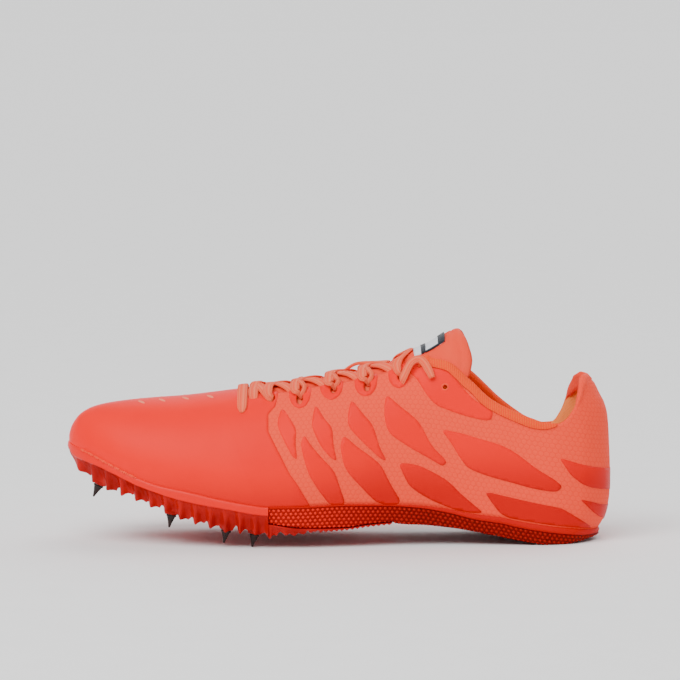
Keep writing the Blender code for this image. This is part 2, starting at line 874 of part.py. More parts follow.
def build_midsole(collection, material):
    """Foam wedge under the arch and the heel, with a smooth lip along its top."""
    def lip(place):
        return sole_top(place) - INSTEP_HEIGHT * lip_share(place)

    def shin(place):
        return foam_bottom(place) * 0.65 + lip(place) * 0.35

    rings = []
    for along in midsole_places():
        lean = MIDSOLE_LEAN * ease((1.0 - along) / 0.05)
        half = []
        for side in SIDES:
            half.append((
                edge_point(along, side, FLANGE, sole_top),
                edge_point(along, side, FLANGE, lip),
                edge_point(along, side, FLANGE - LIP_STEP, lip),
                edge_point(along, side, FLANGE - LIP_STEP - lean * 0.3, shin),
                edge_point(along, side, FLANGE - LIP_STEP - lean, foam_bottom),
            ))
        rings.append(list(half[0]) + list(reversed(half[1])))
    return new_object("midsole", loft("midsole", rings), material, collection, smooth=False)


def lace_strip(name, first, second, lift, collection, material):
    """Flat strip of lace over the throat between two places given as (along, signed distance out)."""
    count = 12
    middle = []
    normals = []
    for k in range(count + 1):
        share = k / count
        along = first[0] + (second[0] - first[0]) * share
        out = first[1] + (second[1] - first[1]) * share
        side = "lateral" if out < 0 else "medial"
        angle = SIDES[side] * angle_at_width(along, side, abs(out))
        normal = last_normal(along, angle)
        middle.append(signed_point(along, angle) + normal * (LACE_CLEARANCE + LACE_THICK / 2 + lift))
        normals.append(normal)
    rings = []
    for k in range(count + 1):
        run = (middle[min(k + 1, count)] - middle[max(k - 1, 0)]).normalized()
        wide = run.cross(normals[k]).normalized() * LACE_WIDTH / 2
        thick = normals[k] * LACE_THICK / 2
        rings.append([middle[k] - wide - thick, middle[k] + wide - thick,
                      middle[k] + wide + thick, middle[k] - wide + thick])
    return new_object(name, loft(name, rings), material, collection, smooth=False)


def build_lace(collection, tools, material):
    """Lace across the throat: a straight bar at the front and a crossing between each pair of holes."""
    outs = [BALL_WIDTH * hole.out * 0.98 for hole in EYELETS]
    alongs = [hole.along for hole in EYELETS]
    over = LACE_THICK * 0.3
    strips = [((alongs[0], -outs[0]), (alongs[0], outs[0]), over / 2)]
    start = alongs[0] + LACE_WIDTH * 0.62 / LENGTH
    strips.append(((start, -outs[0] * 0.8), (alongs[1], outs[1]), 0.0))
    strips.append(((start, outs[0] * 0.8), (alongs[1], -outs[1]), over))
    for k in range(1, len(EYELETS) - 1):
        strips.append(((alongs[k], -outs[k]), (alongs[k + 1], outs[k + 1]), 0.0))
        strips.append(((alongs[k], outs[k]), (alongs[k + 1], -outs[k + 1]), over))
    lace = lace_strip("lace_crossings", *strips[0], collection, material)
    for number, strip in enumerate(strips[1:], start=1):
        join_tool(lace, lace_strip(f"strip_{number}", *strip, tools, material), "UNION")
    return lace


def smooth_route(corners, pieces):
    """Points of a Catmull-Rom curve through hand-placed corners."""
    padded = [corners[0] * 2 - corners[1]] + corners + [corners[-1] * 2 - corners[-2]]
    route = []
    for before, start, end, after in zip(padded, padded[1:], padded[2:], padded[3:]):
        for k in range(pieces):
            t = k / pieces
            route.append(0.5 * (start * 2 + (end - before) * t
                                + (before * 2 - start * 5 + end * 4 - after) * t ** 2
                                + (start * 3 - before - end * 3 + after) * t ** 3))
    return route + [corners[-1]]


def build_lace_end(collection, material):
    """Free end of the lace, a plain cord that lies over the collar."""
    lift = BINDING_RAISE + GAP + LACE_END_RADIUS
    corners = []
    for stop in LACE_END_ROUTE:
        angle = -angle_at_width(stop.along, "lateral", BALL_WIDTH * stop.out)
        corners.append(raised_point(stop.along, angle, lift + stop.rise))
    route = smooth_route(corners, 2)
    curve = bpy.data.curves.new("lace_end", "CURVE")
    curve.dimensions = "3D"
    curve.bevel_depth = LACE_END_RADIUS
    curve.bevel_resolution = 2
    curve.use_fill_caps = True
    spline = curve.splines.new("POLY")
    spline.points.add(len(route) - 1)
    for stop, point in zip(spline.points, route):
        stop.co = (*point, 1.0)
    curve.materials.append(material)
    cord = bpy.data.objects.new("lace_end", curve)
    collection.objects.link(cord)
    return cord


def main():
    for thing in list(bpy.data.objects):
        bpy.data.objects.remove(thing, do_unlink=True)
    collection = bpy.data.collections.new("track_spike_shoe")
    tools = bpy.data.collections.new("cutters")
    bpy.context.scene.collection.children.link(collection)
    bpy.context.scene.collection.children.link(tools)
    tools.hide_render = True

    film = make_material("film", srgb(254, 78, 55), 0.42)
    edging = make_material("edging", srgb(255, 120, 65), 0.70)
    padding = make_material("padding", srgb(253, 119, 96), 0.75)
    patch = make_material("patch", srgb(228, 230, 234), 0.55)
    lining = make_material("lining", srgb(240, 96, 62), 0.80)
    foam = make_material("foam", srgb(196, 40, 18), 0.55)
    plastic = make_material("plate_plastic", srgb(240, 58, 44), 0.32)
    steel = make_material("spike_steel", srgb(58, 50, 48), 0.38, 0.85)
    cord = make_material("lace_cord", srgb(255, 122, 92), 0.72)

    build_upper(collection, tools, film)
    for side in SIDES:
        build_binding(side, collection, edging)
    build_tongue(collection, padding)
    build_label(collection, patch)
    build_insole(collection, lining)
    build_midsole(collection, foam)
    build_plate(collection, tools, plastic)
    for spike in SPIKES:
        build_spike(spike, collection, steel)
    build_lace(collection, tools, cord)
    build_lace_end(collection, cord)


main()
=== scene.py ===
import functools
import math
from collections import namedtuple

import bmesh
import bpy
import numpy as np
from mathutils import Matrix, Vector, geometry


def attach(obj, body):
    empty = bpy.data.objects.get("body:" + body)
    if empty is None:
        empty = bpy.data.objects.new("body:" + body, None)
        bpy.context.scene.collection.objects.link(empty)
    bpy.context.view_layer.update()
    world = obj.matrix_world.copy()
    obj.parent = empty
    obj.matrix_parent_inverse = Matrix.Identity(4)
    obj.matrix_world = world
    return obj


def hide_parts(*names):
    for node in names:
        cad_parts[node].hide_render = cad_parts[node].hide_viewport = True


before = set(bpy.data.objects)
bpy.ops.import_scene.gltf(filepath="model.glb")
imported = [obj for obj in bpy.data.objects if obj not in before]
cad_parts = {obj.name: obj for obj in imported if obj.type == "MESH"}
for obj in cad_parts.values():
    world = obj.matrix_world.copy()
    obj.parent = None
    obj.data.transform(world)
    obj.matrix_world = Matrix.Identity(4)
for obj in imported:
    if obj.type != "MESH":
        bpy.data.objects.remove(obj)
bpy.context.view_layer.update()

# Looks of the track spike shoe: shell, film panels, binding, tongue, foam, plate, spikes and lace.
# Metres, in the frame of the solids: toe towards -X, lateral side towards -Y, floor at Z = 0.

# Sizes of the shoe, as in the solids
LENGTH = 0.280
BALL_WIDTH = 0.088
INSTEP_HEIGHT = 0.100
HEEL_SETBACK = 0.0109
WALL = 0.0015
GAP = 0.0003
FLANGE = 0.0007
TUCK = 0.04
BINDING_WIDTH = 0.0048
BINDING_FROM = 0.646
BINDING_TO = 0.893
TONGUE_FROM = 0.300
TONGUE_TO = 0.7228
TONGUE_SIDE_LAG = 0.0256
INSOLE_THICK = 0.0030
INSOLE_INSET = 0.0023
PLATE_STEP = 0.3715
PLATE_END = 0.598
MIDSOLE_FROM = 0.3725
LUG_FIRST = 0.0194
LUG_LAST = 0.3745
LUG_COUNT = 14
LUG_DEPTH = 0.0032
MIDSOLE_LEAN = 0.0015
SPIKE_LENGTH = 0.0068
HUG = 0.0005
LACE_WIDTH = 0.0054
LACE_THICK = 0.0013

# The photograph: 680 pixels square, seen square from the lateral side and a little from above
PIXEL = 0.0005185
TOE_PIXEL = 69.0
FLOOR_PIXEL = 538.4
FRAME_PIXELS = 680
CAMERA_TILT = math.radians(5.0)


def table(fields, *rows):
    """Rows of numbers with named columns."""
    row_kind = namedtuple("Row", fields)
    return tuple(row_kind(*row) for row in rows)


# The last and the sole: heights as shares of INSTEP_HEIGHT, distances out as shares of BALL_WIDTH,
# places along as shares of LENGTH, setbacks as shares of HEEL_SETBACK
PLAN = table(
    "along lateral medial",
    (0.000, 0.000, 0.000), (0.020, 0.150, 0.222), (0.050, 0.243, 0.318), (0.100, 0.341, 0.398),
    (0.150, 0.403, 0.443), (0.200, 0.449, 0.472), (0.270, 0.494, 0.489), (0.350, 0.523, 0.477),
    (0.420, 0.517, 0.438), (0.500, 0.477, 0.386), (0.600, 0.415, 0.347), (0.700, 0.375, 0.341),
    (0.800, 0.364, 0.352), (0.880, 0.352, 0.352), (0.940, 0.300, 0.300), (0.980, 0.185, 0.185),
    (1.000, 0.000, 0.000),
)
FEATHER = table(
    "along height",
    (0.000, 0.502), (0.019, 0.484), (0.043, 0.459), (0.080, 0.412), (0.131, 0.350), (0.170, 0.314),
    (0.224, 0.285), (0.283, 0.249), (0.333, 0.225), (0.369, 0.212), (0.428, 0.214), (0.502, 0.220),
    (0.576, 0.216), (0.646, 0.206), (0.704, 0.184), (0.746, 0.160), (0.798, 0.141), (0.824, 0.124),
    (0.883, 0.097), (0.943, 0.077), (1.000, 0.055),
)
RIDGE = table(
    "along height",
    (0.000, 0.540), (0.004, 0.578), (0.010, 0.610), (0.020, 0.645), (0.043, 0.682), (0.065, 0.699),
    (0.098, 0.714), (0.154, 0.730), (0.209, 0.741), (0.265, 0.759), (0.309, 0.775), (0.354, 0.790),
    (0.407, 0.808), (0.455, 0.832), (0.517, 0.865), (0.578, 0.906), (0.620, 0.958), (0.643, 0.996),
    (0.665, 1.032), (0.687, 1.072), (0.705, 1.102), (0.720, 1.115), (0.745, 1.125), (0.800, 1.160),
    (0.900, 1.190), (1.000, 1.200),
)
SHAPE = table(
    "along shoulder",
    (0.00, 2.10), (0.31, 2.10), (0.40, 2.20), (0.50, 2.60), (0.58, 3.00), (0.65, 3.20), (0.80, 3.20),
    (1.00, 3.00),
)
COLLAR = table(
    "along lateral medial",
    (0.620, 1.100, 1.100), (0.655, 1.000, 1.000), (0.669, 0.960, 0.960), (0.685, 0.952, 0.952),
    (0.699, 0.942, 0.942), (0.715, 0.912, 0.917), (0.732, 0.869, 0.884), (0.748, 0.830, 0.850),
    (0.763, 0.788, 0.811), (0.776, 0.757, 0.775), (0.798, 0.720, 0.715), (0.826, 0.684, 0.653),
    (0.854, 0.653, 0.602), (0.882, 0.630, 0.575), (0.902, 0.627, 0.580), (0.916, 0.645, 0.630),
    (0.933, 0.690, 0.715), (0.946, 0.730, 0.765), (0.958, 0.770, 0.800), (0.970, 0.815, 0.828),
    (0.984, 0.845, 0.848), (0.992, 0.860, 0.860), (1.000, 0.858, 0.858),
)
THROAT = table(
    "along half",
    (0.312, 0.000), (0.316, 0.052), (0.325, 0.092), (0.340, 0.125), (0.365, 0.148), (0.397, 0.165),
    (0.456, 0.168), (0.517, 0.182), (0.578, 0.180), (0.635, 0.190), (0.669, 0.205), (0.720, 0.220),
)
HEEL_LINE = table(
    "height setback",
    (0.000, 0.750), (0.059, 0.480), (0.111, 0.193), (0.158, 0.055), (0.240, -0.064), (0.350, -0.077),
    (0.512, -0.028), (0.642, 0.055), (0.710, 0.211), (0.757, 0.440), (0.820, 0.734), (0.850, 1.000),
    (1.200, 1.600),
)
TREAD = table(
    "along tip strip",
    (0.000, 0.470, 0.480), (0.003, 0.450, 0.464), (0.009, 0.424, 0.444), (0.0194, 0.368, 0.433),
    (0.033, 0.342, 0.422), (0.054, 0.303, 0.406), (0.093, 0.262, 0.362), (0.131, 0.230, 0.315),
    (0.163, 0.195, 0.285), (0.193, 0.162, 0.260), (0.222, 0.135, 0.240), (0.260, 0.106, 0.215),
    (0.294, 0.084, 0.195), (0.344, 0.075, 0.164), (0.3745, 0.052, 0.155), (0.400, 0.062, 0.110),
    (0.428, 0.069, 0.090), (0.460, 0.080, 0.092), (0.511, 0.088, 0.094), (0.556, 0.103, 0.109),
    (0.598, 0.112, 0.118),
)
FOAM = table(
    "along bottom lip",
    (0.3725, 0.130, 0.006), (0.428, 0.108, 0.012), (0.511, 0.104, 0.016), (0.556, 0.119, 0.018),
    (0.600, 0.127, 0.018), (0.604, 0.119, 0.018), (0.661, 0.106, 0.020), (0.717, 0.086, 0.022),
    (0.780, 0.053, 0.024), (0.824, 0.027, 0.025), (0.860, 0.009, 0.026), (0.885, 0.000, 0.026),
    (0.925, 0.000, 0.026), (0.960, 0.008, 0.024), (0.985, 0.018, 0.020), (1.000, 0.026, 0.015),
)
Eyelet = namedtuple("Eyelet", "along out")
EYELETS = (
    Eyelet(0.3230, 0.295), Eyelet(0.3760, 0.239), Eyelet(0.4278, 0.284),
    Eyelet(0.4900, 0.250), Eyelet(0.5515, 0.270), Eyelet(0.6133, 0.257),
)
SPARE_HOLE = Eyelet(0.6940, 0.305)
SPIKES = table(
    "side number along out height",
    ("lateral", 1, 0.0574, 0.159, 0.298), ("lateral", 2, 0.1932, 0.330, 0.163),
    ("lateral", 3, 0.2939, 0.386, 0.090), ("lateral", 4, 0.3454, 0.398, None),
    ("medial", 1, 0.0530, 0.205, 0.320), ("medial", 2, 0.1675, 0.341, 0.188),
    ("medial", 3, 0.2605, 0.386, 0.104), ("medial", 4, 0.3454, 0.364, None),
)
SIDES = {"lateral": -1.0, "medial": 1.0}

# Film panels over the mesh: corners of their outlines in pixels of the photograph
Seen = namedtuple("Seen", "across down")


def outline(*corners):
    return [Seen(*corner) for corner in corners]


PANELS = {
    "quarter_1": outline((283, 406), (295, 424), (297, 430), (296, 441), (298, 458), (293, 454),
                         (285.6, 440.6), (279, 427), (278.7, 418)),
    "quarter_2": outline((316, 403.6), (325.5, 419), (332.5, 426.5), (333.4, 444), (337, 459), (331, 456),
                         (320.4, 444), (312, 425), (313.4, 414)),
    "quarter_3": outline((351.7, 399), (361, 411), (372.7, 424), (378.4, 445), (386, 459), (380, 457),
                         (366.3, 444.4), (351, 429), (347.4, 421.4), (348.5, 408.7)),
    "quarter_4": outline((385.5, 393.4), (397, 403.6), (414.8, 417.6), (420.5, 425.3), (430, 444.4),
                         (446, 460), (441, 464.5), (429.7, 457.6), (408.4, 445.7), (389.3, 433),
                         (384.8, 422.7), (383.5, 408.7)),
    "collar_patch": outline((409.5, 366), (420, 362.5), (432, 365.5), (444.7, 370), (453, 377), (463.5, 390),
                            (473, 400), (483, 405), (491, 411), (489.5, 418.5), (481.7, 419.4),
                            (459.5, 413.6), (435.4, 405), (426, 395), (417, 380), (409.5, 372)),
    "flank_upper": outline((439.3, 428), (459.5, 432), (478, 437.6), (500, 444), (515, 452.4), (533.4, 467),
                           (552, 478), (560, 485), (553.8, 490.5), (529.7, 486.6), (507.5, 480),
                           (487, 474.6), (467, 467), (459.5, 458), (448.4, 439.5)),
    "heel_upper": outline((556.6, 456.3), (577.7, 463), (597, 467), (612.6, 470), (613, 470), (613, 491.5),
                          (612.6, 491.5), (593.7, 487.8), (580, 483), (568, 473.5), (561, 463)),
    "heel_lower": outline((577.7, 497.8), (589.7, 500.6), (601.6, 504.2), (612.6, 506), (613, 506),
                          (613, 521), (612.6, 521), (601, 518), (589.7, 509.4), (583.3, 503)),
    "flank_lower": outline((482.6, 489.4), (506, 495), (530, 500.6), (553.8, 505.4), (560, 507),
                           (569.7, 512.6), (580, 519), (592, 527), (577.7, 526.4), (545.8, 522.6),
                           (522, 518.6), (506, 515.6), (498, 511), (490, 500.6)),
    "arch_3": outline((397.2, 460.7), (416.7, 463), (433.6, 471.4), (446.6, 479), (460.3, 492.8),
                      (471.8, 502.5), (482, 511), (467, 510.4), (452.7, 507.3), (433.6, 499.7),
                      (418.3, 491.3), (408.3, 483.6), (403, 473.7)),
    "arch_2": outline((343.4, 433.5), (356, 444.6), (368, 453), (380.4, 463), (389.3, 481.4), (402, 502),
                      (377.8, 502), (361.2, 485.2), (344.6, 467), (340, 444.4)),
    "arch_1": outline((304.8, 433), (310.9, 443), (322, 456), (334.4, 468.6), (339.5, 484), (345.9, 502.4),
                      (330.6, 503), (319, 487.8), (308.3, 470.5), (301, 443)),
    "eyestay_3": outline((289.5, 386), (289.8, 398), (293.5, 405), (300, 408), (306.5, 405), (310.5, 398),
                         (312, 384)),
    "eyestay_4": outline((320, 380), (320.5, 391), (325, 397), (331, 399.5), (337.5, 397), (342, 391),
                         (344, 377)),
    "eyestay_5": outline((354.5, 374), (354.5, 387), (358.5, 393.5), (365, 396), (371.5, 393.5), (376, 387),
                         (378, 371)),
    "eyestay_6": outline((388, 366), (388, 379), (392, 385.5), (398, 388), (404, 385.5), (408.5, 379),
                         (410.5, 362)),
}

# Rear edge of the film that covers the toe, from the throat down to the sole
FRONT_EDGE = outline((279, 388), (276.5, 405), (269.2, 413), (269.5, 430), (275, 441), (291, 472),
                     (297, 480), (310.8, 503))

# Slanted vents on the toe
VENTS = outline((142, 401), (162.6, 400.6), (186, 399.5), (210.7, 395.9))


def smooth_curve(table, place, value, power=1.0):
    """Monotone cubic curve through two columns of a table, interpolated in a power of the value."""
    places = np.array([getattr(row, place) for row in table])
    raw = np.array([getattr(row, value) for row in table])
    values = np.sign(raw) * np.abs(raw) ** power
    steps = np.diff(places)
    slopes = np.diff(values) / steps
    tangents = np.zeros(len(places))
    tangents[0] = slopes[0]
    tangents[-1] = slopes[-1]
    for k in range(1, len(places) - 1):
        if slopes[k - 1] * slopes[k] > 0:
            before = 2 * steps[k] + steps[k - 1]
            after = steps[k] + 2 * steps[k - 1]
            tangents[k] = (before + after) / (before / slopes[k - 1] + after / slopes[k])

    @functools.lru_cache(maxsize=None)
    def at(where):
        k = int(np.clip(np.searchsorted(places, where) - 1, 0, len(steps) - 1))
        t = min(max((where - places[k]) / steps[k], 0.0), 1.0)
        mixed = ((1 + 2 * t) * (1 - t) ** 2 * values[k] + t * (1 - t) ** 2 * steps[k] * tangents[k]
                 + t * t * (3 - 2 * t) * values[k + 1] + t * t * (t - 1) * steps[k] * tangents[k + 1])
        return math.copysign(abs(mixed) ** (1.0 / power), mixed)

    return at


half_width_share = {side: smooth_curve(PLAN, "along", side, 2.0) for side in SIDES}
feather_share = smooth_curve(FEATHER, "along", "height")
ridge_share = smooth_curve(RIDGE, "along", "height")
shoulder_of = smooth_curve(SHAPE, "along", "shoulder")
collar_share = {side: smooth_curve(COLLAR, "along", side) for side in SIDES}
throat_share = smooth_curve(THROAT, "along", "half")
setback_share = smooth_curve(HEEL_LINE, "height", "setback")
tip_share = smooth_curve(TREAD, "along", "tip")
strip_share = smooth_curve(TREAD, "along", "strip")
foam_share = smooth_curve(FOAM, "along", "bottom")
lip_share = smooth_curve(FOAM, "along", "lip")


def ease(value):
    value = min(max(value, 0.0), 1.0)
    return value * value * (3.0 - 2.0 * value)


def half_width(along, side):
    return BALL_WIDTH * half_width_share[side](along)


def feather(along):
    return INSTEP_HEIGHT * feather_share(along)


def ridge(along):
    return INSTEP_HEIGHT * ridge_share(along)


def lean_at(along, height):
    if along <= 0.8:
        return 0.0
    return HEEL_SETBACK * setback_share(round(height / INSTEP_HEIGHT, 5)) * ease((along - 0.8) / 0.2)


def place_x(along, height):
    return LENGTH * (along - 0.5) - lean_at(along, height)


def last_point(along, side, angle):
    """Point of the last: angle 0 on the ridge, a right angle on the lower edge."""
    wide = math.sin(angle) ** (2.0 / shoulder_of(along))
    rise = math.cos(angle)
    low = feather(along)
    height = low + (ridge(along) - low) * rise
    tucked = 1.0 - TUCK * max(0.0, 1.0 - rise / 0.3) ** 2
    return Vector((place_x(along, height), SIDES[side] * half_width(along, side) * wide * tucked, height))


def angle_at_width(along, side, out):
    share = min(out / max(half_width(along, side), 1e-6), 1.0)
    return math.asin(min(share ** (shoulder_of(along) / 2.0), 1.0))


def angle_at_height(along, height):
    low = feather(along)
    return math.acos(min(max((height - low) / (ridge(along) - low), 0.0), 1.0))


def signed_point(along, angle):
    """Point of the last, with negative angles on the lateral side."""
    return last_point(along, "lateral" if angle < 0 else "medial", abs(angle))


def angle_out(along, out):
    """Angle of the surface a signed distance out from the ridge, negative on the lateral side."""
    side = "lateral" if out < 0 else "medial"
    return SIDES[side] * angle_at_width(along, side, abs(out))


def last_normal(along, angle):
    step = 0.004
    turn = 0.05
    front = signed_point(max(along - step, 0.0), angle)
    back = signed_point(min(along + step, 1.0), angle)
    left = signed_point(along, max(angle - turn, -math.pi / 2))
    right = signed_point(along, min(angle + turn, math.pi / 2))
    return (right - left).cross(front - back).normalized()


def raised_point(along, angle, offset):
    return signed_point(along, angle) + last_normal(along, angle) * offset


@functools.lru_cache(maxsize=None)
def rim_height(along, side):
    """Height of the top edge of the shoe, at the throat or the collar."""
    angle = 0.0
    if THROAT[0].along < along < THROAT[-1].along:
        angle = angle_at_width(along, side, BALL_WIDTH * throat_share(along))
    height = last_point(along, side, angle).z
    if along > COLLAR[0].along:
        height = min(height, INSTEP_HEIGHT * collar_share[side](along))
    return height


def rim_angle(along, side):
    if along <= THROAT[0].along:
        return 0.0
    return angle_at_height(along, rim_height(along, side))


def binding_drop(along, side):
    step = 0.004
    rise = rim_height(along + step, side) - rim_height(along - step, side)
    return BINDING_WIDTH * math.hypot(1.0, min(abs(rise / (2 * step * LENGTH)), 1.2))


def edge_frame(along, side):
    """Lower edge of the upper in plan, with its outward direction."""
    here = Vector((place_x(along, feather(along)), SIDES[side] * half_width(along, side) * (1 - TUCK)))
    if along <= 0.0:
        return here, Vector((-1.0, 0.0))
    if along >= 1.0:
        return here, Vector((1.0, 0.0))
    step = min(0.004, along / 2, (1.0 - along) / 2)
    ahead = along + step
    behind = along - step
    run = place_x(ahead, feather(ahead)) - place_x(behind, feather(behind))
    widen = (half_width(ahead, side) - half_width(behind, side)) * (1 - TUCK)
    return here, Vector((-widen, SIDES[side] * run)).normalized()


def along_of(x):
    """Station whose lower edge lies at a given X."""
    low = 0.0
    high = 1.0
    for _ in range(22):
        middle = (low + high) / 2
        if place_x(middle, feather(middle)) < x:
            low = middle
        else:
            high = middle
    return (low + high) / 2


# Places in the photograph
def seen_level(point):
    """Height of a point in the photograph, in metres above the floor line."""
    return point.z * math.cos(CAMERA_TILT) + point.y * math.sin(CAMERA_TILT)


def from_photo(across, down):
    """Place along the shoe and angle of the lateral surface seen at a pixel."""
    x = (across - TOE_PIXEL) * PIXEL - LENGTH / 2
    level = (FLOOR_PIXEL - down) * PIXEL
    along = min(max(x / LENGTH + 0.5, 0.0), 1.0)
    angle = math.pi / 4
    for _ in range(4):
        low = rim_angle(along, "lateral")
        high = math.pi / 2
        for _ in range(18):
            angle = (low + high) / 2
            if seen_level(last_point(along, "lateral", angle)) > level:
                low = angle
            else:
                high = angle
        lean = lean_at(along, last_point(along, "lateral", angle).z)
        along = min(max((x + lean) / LENGTH + 0.5, 0.0), 1.0)
    return along, angle


def to_photo(point):
    return Seen((point.x + LENGTH / 2) / PIXEL + TOE_PIXEL, FLOOR_PIXEL - seen_level(point) / PIXEL)


# Meshes
def add_object(name, data):
    thing = bpy.data.objects.new(name, data)
    bpy.context.scene.collection.objects.link(thing)
    return thing


def make_object(name, mesh, *materials):
    """Smooth piece of the shoe."""
    thing = add_object(name, mesh)
    for material in materials:
        mesh.materials.append(material)
    for polygon in mesh.polygons:
        polygon.use_smooth = True
    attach(thing, "root")
    return thing


def mesh_of(name, points, faces, places=None, weld=True, outward=False):
    """Mesh with its surface places in metres kept as a map for the weaves."""
    mesh = bpy.data.meshes.new(name)
    mesh.from_pydata([tuple(point) for point in points], [], faces)
    if places is not None:
        layer = mesh.uv_layers.new(name="cloth")
        corners = np.empty(len(mesh.loops), dtype=np.int32)
        mesh.loops.foreach_get("vertex_index", corners)
        layer.data.foreach_set("uv", np.array(places, dtype=np.float32)[corners].ravel())
    work = bmesh.new()
    work.from_mesh(mesh)
    if weld:
        bmesh.ops.remove_doubles(work, verts=work.verts, dist=2e-6)
        bmesh.ops.dissolve_degenerate(work, edges=work.edges, dist=1e-7)
    if outward:
        bmesh.ops.recalc_face_normals(work, faces=work.faces)
    work.to_mesh(mesh)
    work.free()
    return mesh


def mesh_from(work, name):
    mesh = bpy.data.meshes.new(name)
    work.to_mesh(mesh)
    work.free()
    return mesh


def grid_faces(rows, columns, base=0, flip=False, closed=False):
    faces = []
    for i in range(rows - 1):
        for j in range(columns if closed else columns - 1):
            k = (j + 1) % columns
            face = (base + i * columns + j, base + (i + 1) * columns + j,
                    base + (i + 1) * columns + k, base + i * columns + k)
            faces.append(tuple(reversed(face)) if flip else face)
    return faces


def grid_places(rows):
    """Distances along and across a grid of points, for the weaves."""
    places = []
    run = 0.0
    for i, row in enumerate(rows):
        if i:
            middle = len(row) // 2
            run += (row[middle] - rows[i - 1][middle]).length
        climb = 0.0
        for j, point in enumerate(row):
            if j:
                climb += (point - row[j - 1]).length
            places.append((run, climb))
    return places


def tube_loft(rings):
    """Faces of a closed tube through rings of points, with both ends filled."""
    count = len(rings[0])
    faces = grid_faces(len(rings), count, closed=True)
    faces.append(tuple(range(count)))
    faces.append(tuple((len(rings) - 1) * count + j for j in reversed(range(count))))
    return faces


def all_of(rows):
    """The points of some rows in one list."""
    return [point for row in rows for point in row]


def lofted(name, rings, material, mapped=True):
    """Closed tube through rings of points as one piece."""
    places = grid_places(rings) if mapped else None
    return make_object(name, mesh_of(name, all_of(rings), tube_loft(rings), places, outward=True), material)


# Finishes
SPECULAR = 0.08
HEXAGON_PITCH = 0.0027


def srgb(red, green, blue):
    linear = []
    for value in (red, green, blue):
        share = value / 255.0
        linear.append(share / 12.92 if share <= 0.04045 else ((share + 0.055) / 1.055) ** 2.4)
    return (*linear, 1.0)


def new_finish(name, roughness, **sockets):
    """Principled material with its uniform values set on the shader's own sockets."""
    material = bpy.data.materials.new(name)
    material.use_nodes = True
    shader = shader_of(material)
    shader.inputs["Roughness"].default_value = roughness
    shader.inputs["Specular IOR Level"].default_value = SPECULAR
    for socket, value in sockets.items():
        shader.inputs[socket.replace("_", " ")].default_value = value
    return material


def textile_finish(name, roughness, sheen_roughness, sheen):
    """Finish of a textile with a faint sheen, and its cloth map."""
    material = new_finish(name, roughness, Sheen_Weight=0.02, Sheen_Roughness=sheen_roughness,
                          Sheen_Tint=srgb(*sheen))
    return material, cloth_places(material)


def shader_of(material):
    return material.node_tree.nodes["Principled BSDF"]


def add_node(material, kind, settings=None, **inputs):
    made = material.node_tree.nodes.new(kind)
    for key, value in (settings or {}).items():
        setattr(made, key, value)
    for key, value in inputs.items():
        socket = made.inputs[int(key[1:])] if key[0] == "i" and key[1:].isdigit() else made.inputs[key]
        if isinstance(value, bpy.types.NodeSocket):
            material.node_tree.links.new(value, socket)
        else:
            socket.default_value = value
    return made


def sum_of(material, operation, first, second=0.0, third=0.0):
    made = add_node(material, "ShaderNodeMath", {"operation": operation}, i0=first, i1=second, i2=third)
    return made.outputs[0]


def vector_of(material, operation, first, *others):
    values = {f"i{k}": value for k, value in enumerate((first, *others))}
    return add_node(material, "ShaderNodeVectorMath", {"operation": operation}, **values)


def remap(material, value, low, high, to_low=0.0, to_high=1.0):
    return add_node(material, "ShaderNodeMapRange", {"interpolation_type": "SMOOTHSTEP", "clamp": True},
                    i0=value, i1=low, i2=high, i3=to_low, i4=to_high).outputs[0]


def mix_colours(material, share, first, second):
    """Mix of two colours, each a socket or red, green and blue up to 255."""
    mixer = add_node(material, "ShaderNodeMix", {"data_type": "RGBA"})
    material.node_tree.links.new(share, mixer.inputs[0])
    for index, value in ((6, first), (7, second)):
        if isinstance(value, bpy.types.NodeSocket):
            material.node_tree.links.new(value, mixer.inputs[index])
        else:
            mixer.inputs[index].default_value = srgb(*value)
    return mixer.outputs[2]


def cloth_places(material):
    return add_node(material, "ShaderNodeUVMap", {"uv_map": "cloth"}).outputs[0]


def object_places(material):
    return add_node(material, "ShaderNodeTexCoord").outputs["Object"]


def noise(material, places, scale, detail=2.0):
    return add_node(material, "ShaderNodeTexNoise", None, Vector=places, Scale=scale, Detail=detail,
                    Roughness=0.55).outputs["Fac"]


def axis_of(material, places, axis):
    """One coordinate of some places."""
    return add_node(material, "ShaderNodeSeparateXYZ", None, i0=places).outputs[axis]


def set_bump(material, height, distance, strength):
    bump = add_node(material, "ShaderNodeBump", None, Height=height, Distance=distance, Strength=strength)
    material.node_tree.links.new(bump.outputs[0], shader_of(material).inputs["Normal"])


def set_colour(material, colour):
    material.node_tree.links.new(colour, shader_of(material).inputs["Base Color"])


def set_roughness(material, value):
    material.node_tree.links.new(value, shader_of(material).inputs["Roughness"])


def hexagons(material, places, pitch):
    """0 in the middle of each hexagon and 1 on its border."""
    scaled = vector_of(material, "SCALE", places)
    scaled.inputs["Scale"].default_value = 1.0 / pitch
    half = (0.5, math.sqrt(3) / 2, 0.5)
    full = (1.0, math.sqrt(3), 1.0)
    reach = []
    for shift in ((0.0, 0.0, 0.0), half):
        moved = vector_of(material, "ADD", scaled.outputs[0], shift)
        wrapped = vector_of(material, "WRAP", moved.outputs[0], full, (0.0, 0.0, 0.0))
        middle = vector_of(material, "SUBTRACT", wrapped.outputs[0], half)
        size = vector_of(material, "ABSOLUTE", middle.outputs[0])
        slanted = vector_of(material, "DOT_PRODUCT", size.outputs[0], (0.5, math.sqrt(3) / 2, 0.0))
        level = axis_of(material, size.outputs[0], 0)
        reach.append(sum_of(material, "MAXIMUM", level, slanted.outputs["Value"]))
    return sum_of(material, "MULTIPLY", sum_of(material, "MINIMUM", *reach), 2.0)


